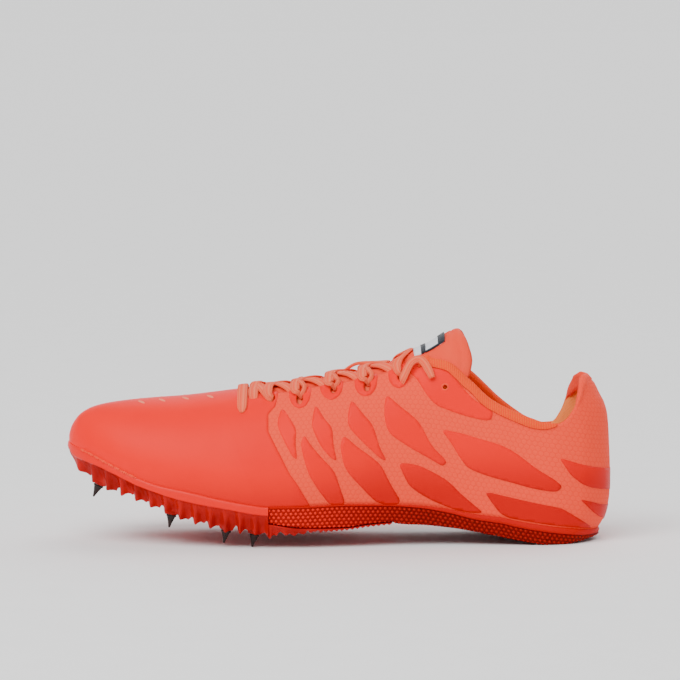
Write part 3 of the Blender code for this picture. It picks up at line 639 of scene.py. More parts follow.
def stripes(material, places, axis, pitch):
    """Wave from 0 to 1 across one axis of the cloth."""
    turned = sum_of(material, "MULTIPLY", axis_of(material, places, axis), 2 * math.pi / pitch)
    return sum_of(material, "MULTIPLY_ADD", sum_of(material, "SINE", turned), 0.5, 0.5)


def weave(material, places, pitch):
    """Plain weave: threads over and under each other."""
    return sum_of(material, "ABSOLUTE", sum_of(
        material, "SUBTRACT", stripes(material, places, 0, pitch), stripes(material, places, 1, pitch)))


def film_finish():
    """Glossy red film, with painted shade: darker towards the sole and under the arch."""
    material = new_finish("film_red", 0.36, Specular_IOR_Level=0.07)
    cloth = cloth_places(material)
    places = object_places(material)
    broad = noise(material, places, 26.0)
    fine = noise(material, cloth, 2600.0)
    knit = weave(material, cloth, 0.0011)
    # Painted shade: the film's colour darkens towards the sole, and the dark band reaches higher under the
    # arch.
    arch = remap(material, axis_of(material, places, 0), -0.030, 0.030, 0.0, 0.014)
    height = sum_of(material, "SUBTRACT", axis_of(material, places, 2), arch)
    tone = mix_colours(material, remap(material, broad, 0.35, 0.65), (252, 10, 4), (255, 16, 6))
    set_colour(material, mix_colours(material, remap(material, height, 0.010, 0.042), (206, 5, 2), tone))
    relief = sum_of(material, "MULTIPLY_ADD", knit, 0.45, sum_of(material, "MULTIPLY", fine, 0.6))
    set_bump(material, relief, 0.00012, 0.5)
    set_roughness(material, remap(material, fine, 0.2, 0.8, 0.30, 0.40))
    return material


def mesh_finish():
    """Coral mesh of small raised hexagons."""
    material, cloth = textile_finish("mesh_coral", 0.62, 0.5, (255, 120, 90))
    border = hexagons(material, cloth, HEXAGON_PITCH)
    line = remap(material, border, 0.74, 0.97)
    threads = noise(material, cloth, 3200.0)
    tone = mix_colours(material, remap(material, threads, 0.3, 0.7), (255, 66, 40), (255, 78, 50))
    set_colour(material, mix_colours(material, sum_of(material, "MULTIPLY", line, 0.4), tone, (240, 40, 20)))
    dome = sum_of(material, "SUBTRACT", 1.0, sum_of(material, "POWER", border, 3.0))
    relief = sum_of(material, "MULTIPLY_ADD", threads, 0.25, dome)
    set_bump(material, relief, 0.00022, 0.55)
    return material


def binding_finish():
    """Orange ribbed tape, with a painted shade line along its lower edge."""
    material, cloth = textile_finish("binding_orange", 0.68, 0.4, (255, 150, 80))
    ribs = stripes(material, cloth, 0, 0.0013)
    rows = stripes(material, cloth, 1, 0.0021)
    relief = sum_of(material, "MULTIPLY", ribs, sum_of(material, "MULTIPLY_ADD", rows, 0.6, 0.4))
    tone = mix_colours(material, remap(material, relief, 0.05, 0.6), (255, 58, 10), (255, 88, 26))
    # Painted shade: a dark line along the lower edge of the tape, where it meets the film.
    edge = remap(material, axis_of(material, cloth, 1), 0.0003, 0.0008)
    set_colour(material, mix_colours(material, edge, (196, 26, 8), tone))
    set_bump(material, relief, 0.00035, 0.8)
    return material


def lining_finish():
    material, cloth = textile_finish("lining_orange", 0.75, 0.5, (255, 140, 70))
    knit = weave(material, cloth, 0.0012)
    set_colour(material, mix_colours(material, knit, (255, 138, 66), (255, 154, 82)))
    set_bump(material, knit, 0.0002, 0.7)
    return material


def tongue_finish():
    material, cloth = textile_finish("tongue_coral", 0.66, 0.5, (255, 130, 100))
    knit = weave(material, cloth, 0.0010)
    broad = noise(material, object_places(material), 60.0)
    tone = mix_colours(material, remap(material, broad, 0.35, 0.65), (255, 66, 40), (255, 76, 48))
    set_colour(material, mix_colours(material, sum_of(material, "MULTIPLY", knit, 0.3), tone, (255, 92, 62)))
    set_bump(material, knit, 0.00018, 0.7)
    return material


def lace_finish():
    """Woven lace with ribs along it."""
    material, cloth = textile_finish("lace_coral", 0.64, 0.4, (255, 140, 100))
    knit = weave(material, cloth, 0.00085)
    ribs = stripes(material, cloth, 1, 0.00135)
    relief = sum_of(material, "MULTIPLY_ADD", knit, 0.35, ribs)
    share = remap(material, relief, 0.1, 1.1)
    set_colour(material, mix_colours(material, share, (255, 84, 52), (255, 116, 80)))
    set_bump(material, relief, 0.00026, 0.9)
    return material


def foam_finish():
    """Red foam, darker to the rear; the cloth map's second axis marks hollows, dots and lip."""
    material = new_finish("foam_red", 0.5)
    mark = axis_of(material, cloth_places(material), 1)
    places = object_places(material)
    grain = noise(material, places, 1500.0)
    rear = remap(material, axis_of(material, places, 0), -0.030, 0.050)
    base = mix_colours(material, rear, (176, 10, 4), (86, 5, 2))
    base = mix_colours(material, remap(material, grain, 0.3, 0.7), base, (140, 9, 4))
    raised = mix_colours(material, rear, (240, 30, 12), (164, 22, 9))
    dots = mix_colours(material, remap(material, mark, 0.10, 0.50), base, raised)
    set_colour(material, mix_colours(material, remap(material, mark, 0.96, 1.04), dots, (198, 6, 3)))
    set_bump(material, grain, 0.0001, 0.5)
    return material


def plate_finish():
    """Red plastic; the cloth map's second axis is 0 on the rim strip and 1 elsewhere."""
    material = new_finish("plate_red", 0.34, Specular_IOR_Level=0.14)
    places = object_places(material)
    grain = noise(material, places, 900.0)
    broad = noise(material, places, 70.0)
    below = remap(material, axis_of(material, cloth_places(material), 1), 0.35, 0.65)
    tone = mix_colours(material, remap(material, broad, 0.35, 0.65), (158, 6, 4), (188, 9, 6))
    set_colour(material, mix_colours(material, below, (240, 12, 8), tone))
    set_bump(material, grain, 0.00008, 0.5)
    set_roughness(material, remap(material, grain, 0.2, 0.8, 0.26, 0.38))
    return material


def spike_finish():
    material = new_finish("spike_dark", 0.32, Metallic=0.9)
    grain = noise(material, object_places(material), 1800.0, 3.0)
    set_colour(material, mix_colours(material, grain, (40, 34, 34), (74, 64, 62)))
    set_roughness(material, remap(material, grain, 0.2, 0.8, 0.24, 0.42))
    return material


def label_finish(name, low, high):
    material = new_finish(name, 0.55, Sheen_Weight=0.15)
    knit = weave(material, cloth_places(material), 0.0007)
    set_colour(material, mix_colours(material, knit, low, high))
    set_bump(material, knit, 0.0001, 0.7)
    return material


FILM = film_finish()
MESH = mesh_finish()
BINDING = binding_finish()
LINING = lining_finish()
TONGUE = tongue_finish()
LACE = lace_finish()
FOAM_RED = foam_finish()
PLATE_RED = plate_finish()
STEEL = spike_finish()
VENT = label_finish("vent_pale", (255, 120, 84), (255, 156, 116))
LABEL_PALE = label_finish("label_pale", (214, 216, 222), (238, 240, 244))
LABEL_DARK = label_finish("label_dark", (30, 34, 40), (58, 62, 70))


# Upper
THROAT_START = 0.3121
UPPER_STATIONS = 110
UPPER_ROWS = 30
HOLE_CORNERS = 28
FILM_LIFT = 0.00006
FILM_THICK = 0.00022
TOE_COLUMNS = 92
TOE_ROWS = 44


def upper_places(count):
    """Stations, close together at the toe, the heel and the steep stretches of the top edge."""
    places = {THROAT_START + 0.003 * k for k in range(12)} | {0.90 + 0.0025 * k for k in range(40)}
    for k in range(count + 1):
        t = k / count
        places.add(0.5 - 0.5 * math.cos(math.pi * t) if t > 0.5 else 0.5 * (2 * t) ** 1.8)
    return sorted(places)


def shell_grid(places, rows, side):
    """Rows of points of one side of the upper, from its lower edge to just below its top edge."""
    grid = []
    for along in places:
        top = rim_angle(along, side)
        if top > 0:
            top = angle_at_height(along, rim_height(along, side) - GAP)
        grid.append([last_point(along, side, wall_angle(top, j / rows)) for j in range(rows + 1)])
    return grid


def wall_angle(top, share):
    """Angle at a share of the way from the lower edge of the wall to its top edge."""
    return math.pi / 2 + (top - math.pi / 2) * share


def two_sided(name, grids, from_top=False, runs=None):
    """Both sides as one mesh; its cloth map climbs from the lower edge or falls from the top."""
    points = []
    faces = []
    places = []
    for side, grid in grids.items():
        base = len(points)
        points += [point for row in grid for point in row]
        for i, row in enumerate(grid):
            climb = -sum((b - a).length for a, b in zip(row, row[1:])) if from_top else 0.0
            for j, point in enumerate(row):
                if j:
                    climb += (point - row[j - 1]).length
                places.append((runs[side][i] if runs else point.x, climb))
        faces += grid_faces(len(grid), len(grid[0]), base, flip=side == "medial")
    return mesh_of(name, points, faces, places)


def hole_tool():
    """One body that punches all the lace holes: round at both ends of the lacing, else upright slots."""
    work = bmesh.new()
    for sign in SIDES.values():
        for hole in EYELETS + (SPARE_HOLE,):
            angle = angle_out(hole.along, sign * BALL_WIDTH * hole.out)
            room = BALL_WIDTH * (hole.out - throat_share(hole.along))
            wide, tall, climb = 0.0018, 0.0007 + 0.38 * room, 0.34 * room - 0.0007
            if hole in (SPARE_HOLE, EYELETS[0]):
                wide, tall, climb = 0.0012, 0.0012, 0.0
            normal = last_normal(hole.along, angle)
            run = (Vector((1, 0, 0)) - normal * normal.x).normalized()
            uphill = normal.cross(run)
            if uphill.z < 0:
                run = -run
                uphill = -uphill
            place = Matrix((run * wide, uphill * tall, normal)).transposed().to_4x4()
            place.translation = signed_point(hole.along, angle) + uphill * climb
            bmesh.ops.create_cone(work, cap_ends=True, segments=HOLE_CORNERS, radius1=1.0, radius2=1.0,
                                  depth=0.008, matrix=place)
    return add_object("hole_tool", mesh_from(work, "hole_tool"))


def punch_holes(thing, tool):
    """Cut the lace holes and keep the result in the mesh."""
    step = thing.modifiers.new("holes", "BOOLEAN")
    step.operation = "DIFFERENCE"
    step.solver = "EXACT"
    step.object = tool
    bake(thing)


def bake(thing):
    """Replace an object's mesh by the result of its modifiers."""
    graph = bpy.context.evaluated_depsgraph_get()
    done = bpy.data.meshes.new_from_object(thing.evaluated_get(graph))
    thing.modifiers.clear()
    thing.data = done


def add_wall(thing, thickness, inner_material=0, offset=-1.0):
    step = thing.modifiers.new("wall", "SOLIDIFY")
    step.thickness = thickness
    step.offset = offset
    step.material_offset = inner_material
    step.material_offset_rim = 0
    bake(thing)


def build_upper(tool):
    """Shell of the upper, lined; its cloth map runs by arc length from the back of the heel."""
    places = upper_places(UPPER_STATIONS)
    grids = {side: shell_grid(places, UPPER_ROWS, side) for side in SIDES}
    runs = {}
    for side in SIDES:
        edge = [edge_frame(along, side)[0] for along in places]
        runs[side] = [-sum((b - a).length for a, b in zip(edge[k:], edge[k + 1:])) for k in range(len(edge))]
    upper = make_object("upper_shell", two_sided("upper_shell", grids, runs=runs), MESH, LINING)
    add_wall(upper, WALL, 1)
    punch_holes(upper, tool)
    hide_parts("upper")


def front_edge_along(along, share):
    """Where the film of the toe ends, at a share of the height of the wall."""
    downs = [corner.down for corner in FRONT_EDGE]
    acrosses = [corner.across for corner in FRONT_EDGE]
    for _ in range(6):
        angle = wall_angle(rim_angle(along, "lateral"), share)
        level = to_photo(last_point(along, "lateral", angle))
        along = (float(np.interp(level.down, downs, acrosses)) - TOE_PIXEL) * PIXEL / LENGTH
    return along


def build_toe_film(tool):
    """Film over the toe and the vamp, up to its slanted rear edge."""
    ends = [front_edge_along(0.39, j / TOE_ROWS) for j in range(TOE_ROWS + 1)]
    grids = {side: [] for side in SIDES}
    for side, grid in grids.items():
        for i in range(TOE_COLUMNS + 1):
            row = []
            for j, end in enumerate(ends):
                along = end * (i / TOE_COLUMNS) ** 1.35
                angle = wall_angle(rim_angle(along, side), j / TOE_ROWS)
                row.append(raised_point(along, SIDES[side] * angle, FILM_LIFT))
            grid.append(row)
    film = make_object("toe_film", two_sided("toe_film", grids, from_top=True), FILM)
    add_wall(film, FILM_THICK, offset=1.0)
    punch_holes(film, tool)


def rounded(corners):
    """Outline with its corners cut round."""
    points = [Vector(corner) for corner in corners]
    for _ in range(2):
        pairs = zip(points, points[1:] + points[:1])
        points = [start.lerp(end, share) for start, end in pairs for share in (0.2, 1 - 0.2)]
    return points


def split_edges(points, longest):
    """Outline with its edges cut into pieces of at most the given length."""
    fine = []
    for start, end in zip(points, points[1:] + points[:1]):
        pieces = max(1, math.ceil((end - start).length / longest))
        fine += [start.lerp(end, k / pieces) for k in range(pieces)]
    return fine


# The film runs on round the heel behind HEEL_PIXEL: its last HEEL_REACH pixels stand for the rest of the way
HEEL_PIXEL = 604.0
HEEL_REACH = 9.0
HEEL_UNROLL = 5.0
PANEL_EDGE = 2.0
PANEL_STEP = 3.0
PANEL_MARGIN = 1.2


def unrolled(corner):
    """Outline corner with the stretch that runs round the heel laid out flat."""
    beyond = max(corner.across - HEEL_PIXEL, 0.0)
    return Seen(corner.across + beyond * (HEEL_UNROLL - 1.0), corner.down)


def place_on_side(across, down):
    """Place and angle of an unrolled outline point, level with the last visible one round the heel."""
    if across <= HEEL_PIXEL:
        return from_photo(across, down)
    along, angle = from_photo(HEEL_PIXEL, down)
    height = last_point(along, "lateral", angle).z
    share = min((across - HEEL_PIXEL) / (HEEL_REACH * HEEL_UNROLL), 1.0)
    along = 1.0 - (1.0 - along) * (1.0 - share) ** 2
    return along, angle_at_height(along, height)


def panel_mesh(name, corners, sign):
    """Film panel that follows the surface, with the outline seen in the photograph."""
    border = split_edges(rounded([unrolled(corner) for corner in corners]), PANEL_EDGE)
    count = len(border)
    inside = []
    low = Vector((min(p.x for p in border), min(p.y for p in border)))
    high = Vector((max(p.x for p in border), max(p.y for p in border)))
    for i in range(int((high.y - low.y) / PANEL_STEP) + 1):
        for j in range(int((high.x - low.x) / PANEL_STEP) + 1):
            spot = low + Vector((j + 0.5 * (i % 2), i + 0.5)) * PANEL_STEP
            if point_inside(spot, border) and min((spot - p).length for p in border) > PANEL_MARGIN:
                inside.append(spot)
    edges = [(k, (k + 1) % count) for k in range(count)]
    flat, _, triangles, *_ = geometry.delaunay_2d_cdt(border + inside, edges, [], 1, 1e-6)
    points = []
    for spot in flat:
        along, angle = place_on_side(spot.x, spot.y)
        points.append(raised_point(along, sign * angle, FILM_LIFT))
    faces = [face if sign < 0 else tuple(reversed(face)) for face in triangles]
    mesh = mesh_of(name, points, faces, [(spot.x * PIXEL, spot.y * PIXEL) for spot in flat])
    return face_towards(mesh, 1, sign)


def point_inside(spot, border):
    hit = False
    for start, end in zip(border, border[1:] + border[:1]):
        if (start.y > spot.y) != (end.y > spot.y):
            if spot.x < start.x + (spot.y - start.y) / (end.y - start.y) * (end.x - start.x):
                hit = not hit
    return hit


def face_towards(mesh, axis, sign):
    """Turn the faces of a sheet so that they look along an axis on the whole."""
    if sum(polygon.normal[axis] * polygon.area for polygon in mesh.polygons) * sign < 0:
        mesh.flip_normals()
    return mesh


def join_all(name, meshes, material):
    """One piece out of several meshes with one material."""
    work = bmesh.new()
    for mesh in meshes:
        work.from_mesh(mesh)
    return make_object(name, mesh_from(work, name), material)


def build_panels(tool):
    for side, sign in SIDES.items():
        meshes = [panel_mesh(name, corners, sign) for name, corners in PANELS.items()]
        panels = join_all(f"film_panels_{side}", meshes, FILM)
        add_wall(panels, FILM_THICK, offset=1.0)
        punch_holes(panels, tool)


VENT_LENGTH = 0.0034
VENT_SPREAD = 0.0052
VENT_WIDTH = 0.00085


def build_vents():
    """Slanted slits in the film of the toe, on both sides of the ridge."""
    meshes = []
    for sign in SIDES.values():
        for vent in VENTS:
            along = (vent.across - TOE_PIXEL) * PIXEL / LENGTH
            out = 0.0080 if along < 0.25 else 0.0100
            rows = []
            for i in range(7):
                row = []
                share = i / 6 - 0.5
                wide = VENT_WIDTH * math.sqrt(max(1.0 - (2 * share) ** 2, 0.02))
                for j in (-1, 0, 1):
                    place = along + (share * VENT_LENGTH + j * wide * 0.9) / LENGTH
                    angle = angle_out(place, sign * (out + share * VENT_SPREAD - j * wide * 0.5))
                    row.append(raised_point(place, angle, 0.00034 + 0.00012 * (j == 0)))
                rows.append(row)
            mesh = mesh_of("vent", all_of(rows), grid_faces(7, 3), grid_places(rows))
            meshes.append(face_towards(mesh, 2, 1.0))
    vents = join_all("toe_vents", meshes, VENT)


# Section of the binding: climb as a share of its drop, offset from the last, and roll to the inside
BINDING_PROFILE = table(
    "climb offset roll",
    (0.00, 0.0002, 0.0), (0.03, 0.0007, 0.0), (0.12, 0.0011, 0.0), (0.35, 0.0013, 0.0), (0.60, 0.0012, 0.0),
    (0.82, 0.0009, 0.0), (0.96, 0.0003, 0.0), (1.05, -0.0006, 0.0), (1.03, -0.0014, 0.0006),
    (0.92, -0.0021, 0.0016), (0.70, -0.0024, 0.0022), (0.35, -0.0023, 0.0020), (0.00, -0.0019, 0.0008),
)


def build_bindings():
    """Ribbed edging that wraps the top edge of the collar and dies away towards its rear end."""
    for side, sign in SIDES.items():
        rows = []
        for along in np.linspace(BINDING_FROM, BINDING_TO + 0.006, 150):
            along = float(along)
            high = rim_height(along, side)
            swell = 0.12 + 0.88 * math.sqrt(max(0.0, min(1.0, (BINDING_TO + 0.007 - along) / 0.05)))
            drop = binding_drop(along, side) * swell
            row = []
            for spot in BINDING_PROFILE:
                angle = sign * angle_at_height(along, high - drop * (1 - spot.climb))
                row.append(raised_point(along, angle, (spot.offset - spot.roll) * (0.4 + 0.6 * swell)))
            rows.append(row)
        binding = lofted(f"binding_{side}", rows, BINDING)
        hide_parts(f"collar_binding_{side}")


WRAP_FROM = 0.922
WRAP_COUNT = 48
WRAP_PROFILE = table(
    "climb offset",
    (-0.0030, 0.0000), (-0.0026, 0.0005), (-0.0012, 0.0007), (-0.0003, 0.0004), (0.0003, -0.0003),
    (0.0004, -0.0011), (0.0000, -0.0019), (-0.0012, -0.0029), (-0.0034, -0.0042), (-0.0056, -0.0050),
    (-0.0060, -0.0038),
)


def build_heel_wrap():
    """Knit of the outer side turned in over the top of the heel."""
    rows = []
    for k in range(-WRAP_COUNT, WRAP_COUNT + 1):
        side = "lateral" if k < 0 else "medial"
        along = 1.0 - (1.0 - WRAP_FROM) * (1.0 - math.cos(math.pi / 2 * k / WRAP_COUNT))
        high = rim_height(along, side)
        full = ease((along - WRAP_FROM) / 0.042)
        size = 0.08 + 0.92 * full
        row = []
        for spot in WRAP_PROFILE:
            angle = SIDES[side] * angle_at_height(along, high + spot.climb * size)
            row.append(raised_point(along, angle, spot.offset * size - 0.0006 * (1.0 - full)))
        rows.append(row)
    wrap = lofted("heel_wrap", rows, MESH)


HOLE_RING = ((0.00115, -0.0004), (0.0012, 0.00034), (0.0014, 0.00042), (0.0017, 0.00040), (0.0019, 0.00022))


def build_hole_rings():
    """Light worn ring round the spare hole of each side."""
    for side, sign in SIDES.items():
        angle = angle_out(SPARE_HOLE.along, sign * BALL_WIDTH * SPARE_HOLE.out)
        middle = signed_point(SPARE_HOLE.along, angle)
        normal = last_normal(SPARE_HOLE.along, angle)
        rings = []
        for radius, lift in HOLE_RING:
            rings.append(circle_points(middle + normal * lift, normal, radius, HOLE_CORNERS))
        faces = grid_faces(len(rings), HOLE_CORNERS, closed=True)
        mesh = mesh_of("hole_ring", all_of(rings), faces, grid_places(rings), outward=True)
        ring = make_object(f"hole_ring_{side}", mesh, MESH)


HEEL_LINING_FROM = 0.86
HEEL_LINING_DROP = 0.040


def build_heel_lining():
    """Padded lining inside the heel, from its top edge down."""
    grids = {side: [] for side in SIDES}
    for side, grid in grids.items():
        for k in range(41):
            along = HEEL_LINING_FROM + (1.0 - HEEL_LINING_FROM) * math.sin(math.pi / 2 * k / 40)
            high = rim_height(along, side) + 0.0002
            fade = ease((along - HEEL_LINING_FROM) / 0.05)
            row = []
            for j in range(25):
                share = j / 24
                angle = SIDES[side] * angle_at_height(along, high - HEEL_LINING_DROP * share)
                swell = math.sin(math.pi * min(share * 1.15, 1.0)) ** 0.7
                depth = 0.0006 + 0.0012 * ease(share * 8) + 0.0026 * fade * swell
                row.append(raised_point(along, angle, -depth))
            grid.append(row)
    lining = make_object("heel_lining", two_sided("heel_lining", grids), LINING)


# Tongue and its patch
TONGUE_STATIONS = 110
TONGUE_COLUMNS = 40
TONGUE_HALF = 0.0014
TONGUE_DEPTH = 0.0021


def tongue_half_width(along):
    return BALL_WIDTH * (0.215 + 0.075 * ease((along - 0.36) / 0.38))


def tongue_end(across):
    end = TONGUE_TO + TONGUE_SIDE_LAG * min(across * across * 1.12, 1.0)
    return end - 0.010 * max(0.0, abs(across) - 0.88) / 0.12


def tongue_top(place, out):
    """Offset of the tongue's face: under the shell at its sides, swelling in the throat."""
    half = BALL_WIDTH * throat_share(place)
    swell = ease((half - out) / 0.006) * (1.0 - ease((place - 0.62) / 0.05)) * ease((place - 0.325) / 0.03)
    return -TONGUE_DEPTH + 0.0016 * swell


def build_tongue():
    """Padded tongue with a seam near its top."""
    rings = []
    for i in range(TONGUE_STATIONS + 1):
        share = i / TONGUE_STATIONS
        outer = []
        inner = []
        for j in range(TONGUE_COLUMNS + 1):
            across = math.sin(math.pi / 2 * (2 * j / TONGUE_COLUMNS - 1))
            place = TONGUE_FROM + (tongue_end(across) - TONGUE_FROM) * share
            rim = min(1.0, (1.0 - abs(across)) / 0.10) * min(1.0, (1.0 - share) / 0.030)
            round_off = math.sqrt(1.0 - (1.0 - min(rim, 1.0)) ** 2)
            middle = tongue_top(place, abs(across) * tongue_half_width(place)) - TONGUE_HALF
            puff = 0.0004 * math.sin(math.pi * share) if share > 0.7 else 0.0
            seam = 0.0004 * math.exp(-((share - 0.955) / 0.006) ** 2)
            angle = angle_out(place, across * tongue_half_width(place))
            outer.append(raised_point(place, angle, middle + (TONGUE_HALF + puff) * round_off - seam))
            inner.append(raised_point(place, angle, middle - TONGUE_HALF * round_off))
        rings.append(outer + list(reversed(inner)))
    tongue = lofted("tongue_pad", rings, TONGUE)
    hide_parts("tongue")


PATCH_WIDTH = 0.0145
BAR_WIDTH = 0.0146
BORDER_SECTION = ((0.0136, -0.0010), (0.0147, -0.0010), (0.0147, -0.0017), (0.0136, -0.0017))


def tongue_patch(name, first, last, half, low, high, material):
    """Thin slab on the tongue between two places along it."""
    rings = []
    for i in range(15):
        place = first + (last - first) * i / 14
        outer = []
        inner = []
        for j in range(-12, 13):
            out = j / 12 * half
            angle = angle_out(place, out)
            swell = tongue_top(place, abs(out)) + TONGUE_DEPTH
            outer.append(raised_point(place, angle, high + swell))
            inner.append(raised_point(place, angle, low + swell))
        rings.append(outer + list(reversed(inner)))
    patch = lofted(name, rings, material)
    return patch


def edge_bar(side):
    """Narrow dark border along the side edge of the patch."""
    rings = []
    for i in range(13):
        place = 0.6580 + 0.0240 * i / 12
        rings.append([raised_point(place, angle_out(place, SIDES[side] * out), offset)
                      for out, offset in BORDER_SECTION])
    bar = lofted(f"label_edge_{side}", rings, LABEL_DARK)


def build_label():
    """Plain pale patch with two dark bars across it."""
    pale = tongue_patch("label_patch", 0.6375, 0.6915, PATCH_WIDTH, -0.0019, -0.0012, LABEL_PALE)
    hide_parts("tongue_label")
    tongue_patch("label_bar_front", 0.6500, 0.6580, BAR_WIDTH, -0.0016, -0.0010, LABEL_DARK)
    tongue_patch("label_bar_rear", 0.6800, 0.6920, BAR_WIDTH, -0.0016, -0.0010, LABEL_DARK)
    for side in SIDES:
        edge_bar(side)


# Insole
INSOLE_STATIONS = 70
INSOLE_COLUMNS = 20


def across_sole(along, share, outward):
    """Point between the lateral and the medial edge of the upper, with both edges moved outward."""
    left, left_way = edge_frame(along, "lateral")
    right, right_way = edge_frame(along, "medial")
    return (left + left_way * outward).lerp(right + right_way * outward, share)


def build_insole():
    """Thin sheet inside the upper, cupped at its edges."""
    rows = []
    for along in upper_places(INSOLE_STATIONS):
        row = []
        for j in range(INSOLE_COLUMNS + 1):
            share = math.sin(math.pi / 2 * (2 * j / INSOLE_COLUMNS - 1))
            spot = across_sole(along, (share + 1) / 2, -INSOLE_INSET)
            cup = 0.0016 * abs(share) ** 6
            row.append(Vector((spot.x, spot.y, feather(along_of(spot.x)) + INSOLE_THICK + cup)))
        rows.append(row)
    faces = grid_faces(len(rows), INSOLE_COLUMNS + 1)
    mesh = mesh_of("insole_sheet", all_of(rows), faces, grid_places(rows))
    sheet = make_object("insole_sheet", face_towards(mesh, 2, 1.0), LINING)
    add_wall(sheet, 0.0024)
    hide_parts("insole")


# Midsole
DOT_PITCH = 0.0025
DOT_ROW = 0.00190
DOT_RADIUS = 0.00088
DOT_HEIGHT = 0.00060
TOOTH_PITCH = 0.0017
TOOTH_HEIGHT = 0.0006
WALL_ROWS = 34
WALL_STEP = 0.00042
WALL_INSET = 0.0006
FLOOR_COLUMNS = 12
LIP_PROFILE = ((0.0, -0.0030), (0.0, -0.0002), (0.0003, 0.0000))
LIP_MARK = 1.1
DOT_MARK = 0.9


def dot_at(run, drop):
    """Height share of the dots on the wall of the midsole, in a staggered pattern."""
    row = math.floor(drop / DOT_ROW)
    best = 0.0
    for k in range(max(row - 1, 0), row + 2):
        shift = 0.5 * (k % 2)
        nearest = (round(run / DOT_PITCH - shift) + shift) * DOT_PITCH
        away = math.hypot(run - nearest, drop - (k + 0.5) * DOT_ROW)
        best = max(best, 1.0 - (away / DOT_RADIUS) ** 2)
    return best


def zigzag(run, pitch):
    """Saw-toothed line from 0 to 1."""
    return abs(2.0 * ((run / pitch) % 1.0) - 1.0)


def midsole_stations(count):
    """Stations of the midsole, close together at the heel."""
    turns = [math.pi / 2 * k / count for k in range(count + 1)]
    return [MIDSOLE_FROM + (1.0 - MIDSOLE_FROM) * math.sin(turn) for turn in turns]


def build_midsole():
    """Wall with its lip and dots round the heel, the floor under it and the front end."""
    stations = midsole_stations(400)
    samples = [(along, "lateral") for along in stations] + [(along, "medial") for along in stations[-2::-1]]
    runs = [0.0]
    spots = [edge_frame(along, side)[0] for along, side in samples]
    for before, after in zip(spots, spots[1:]):
        runs.append(runs[-1] + (after - before).length)
    signed = [along if side == "lateral" else 2.0 - along for along, side in samples]
    points = []
    places = []
    columns = int(runs[-1] / WALL_STEP)
    for i in range(columns + 1):
        run = runs[-1] * i / columns
        where = float(np.interp(run, runs, signed))
        side = "lateral" if where <= 1.0 else "medial"
        along = min(where, 2.0 - where)
        here, way = edge_frame(along, side)
        place = along_of((here + way * FLANGE).x)
        top = feather(place) + HUG
        lip = INSTEP_HEIGHT * lip_share(place) * (0.05 + 0.95 * ease((place - 0.58) / 0.22)) + HUG
        bottom = INSTEP_HEIGHT * foam_share(place) + TOOTH_HEIGHT * zigzag(run, TOOTH_PITCH)
        tall = top - lip - bottom
        lean = MIDSOLE_LEAN * ease((1.0 - along) / 0.05)
        profile = [(drop, outward, 0.0) for drop, outward in LIP_PROFILE]
        profile += [(lip * 0.5, 0.0003, 0.0), (lip, 0.0, 0.0), (lip + 0.0002, -WALL_INSET, 0.0)]
        for k in range(1, WALL_ROWS):
            share = k / (WALL_ROWS - 1)
            dot = dot_at(run, tall * share - 0.0002)
            inward = -WALL_INSET - lean * share ** 1.5 + DOT_HEIGHT * dot
            profile.append((lip + 0.0002 + (tall - 0.0002) * share, inward, dot))
        profile.append((lip + tall + 0.0001, -WALL_INSET - lean - 0.004, 0.0))
        for drop, outward, dot in profile:
            spot = here + way * (FLANGE + outward)
            points.append(Vector((spot.x, spot.y, max(top - drop, 0.0))))
            places.append((run, LIP_MARK if drop <= lip + 1e-6 else DOT_MARK * dot))
    faces = grid_faces(columns + 1, len(profile))
    base = len(points)
    stations = midsole_stations(90)
    for along in stations:
        for j in range(FLOOR_COLUMNS + 1):
            spot = across_sole(along, j / FLOOR_COLUMNS, FLANGE - WALL_INSET - MIDSOLE_LEAN - 0.0012)
            points.append(Vector((spot.x, spot.y, INSTEP_HEIGHT * foam_share(along_of(spot.x)))))
    faces += grid_faces(len(stations), FLOOR_COLUMNS + 1, base)
    base = len(points)
    low = INSTEP_HEIGHT * foam_share(MIDSOLE_FROM)
    high = feather(MIDSOLE_FROM) - GAP
    for down in (0.0, 1.0):
        for j in range(FLOOR_COLUMNS + 1):
            spot = across_sole(MIDSOLE_FROM, j / FLOOR_COLUMNS, FLANGE - 0.0004 - MIDSOLE_LEAN * down)
            points.append(Vector((spot.x, spot.y, high + (low - high) * down)))
    faces += grid_faces(2, FLOOR_COLUMNS + 1, base)
    places += [(0.0, 0.0)] * (len(points) - len(places))
    mesh = mesh_of("midsole_wall", points, faces, places, weld=False, outward=True)
    midsole = make_object("midsole_wall", mesh, FOAM_RED)
    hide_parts("midsole")


# Plate
LUG_PITCH = (LUG_LAST - LUG_FIRST) / (LUG_COUNT - 1)
STRIP_ROWS = 8
LUG_COLUMNS = 8
PLATE_COLUMNS = 48
BOSS_CORNERS = 24
BOSS_PROFILE = ((-0.006, 0.0042), (-0.0012, 0.0038), (-0.0003, 0.0035), (0.0, 0.0031), (0.0, 0.00001))
# Shares of the way down the strip with the swell of its bulge, and of the way from there to the tips
STRIP_STEPS = ((0.05, 0.25), (0.2, 0.7), (0.5, 0.8), (0.8, 1.15), (0.94, 1.25), (1.0, 0.9))
TIP_STEPS = (0.04, 0.2, 0.4, 0.6, 0.8, 1.0)


def lug_peak(phase, column):
    """Height share of the pointed lugs in a staggered pattern."""
    best = 0.0
    for k in (math.floor(phase), math.floor(phase) + 1):
        for j in (math.floor(column), math.floor(column) + 1):
            if 0 <= k < LUG_COUNT and 0 < j < LUG_COLUMNS and (k + j) % 2 == 1:
                away = math.hypot(phase - k, (column - j) * 0.95)
                best = max(best, (1.0 - away / 0.85) * 0.75)
    return best


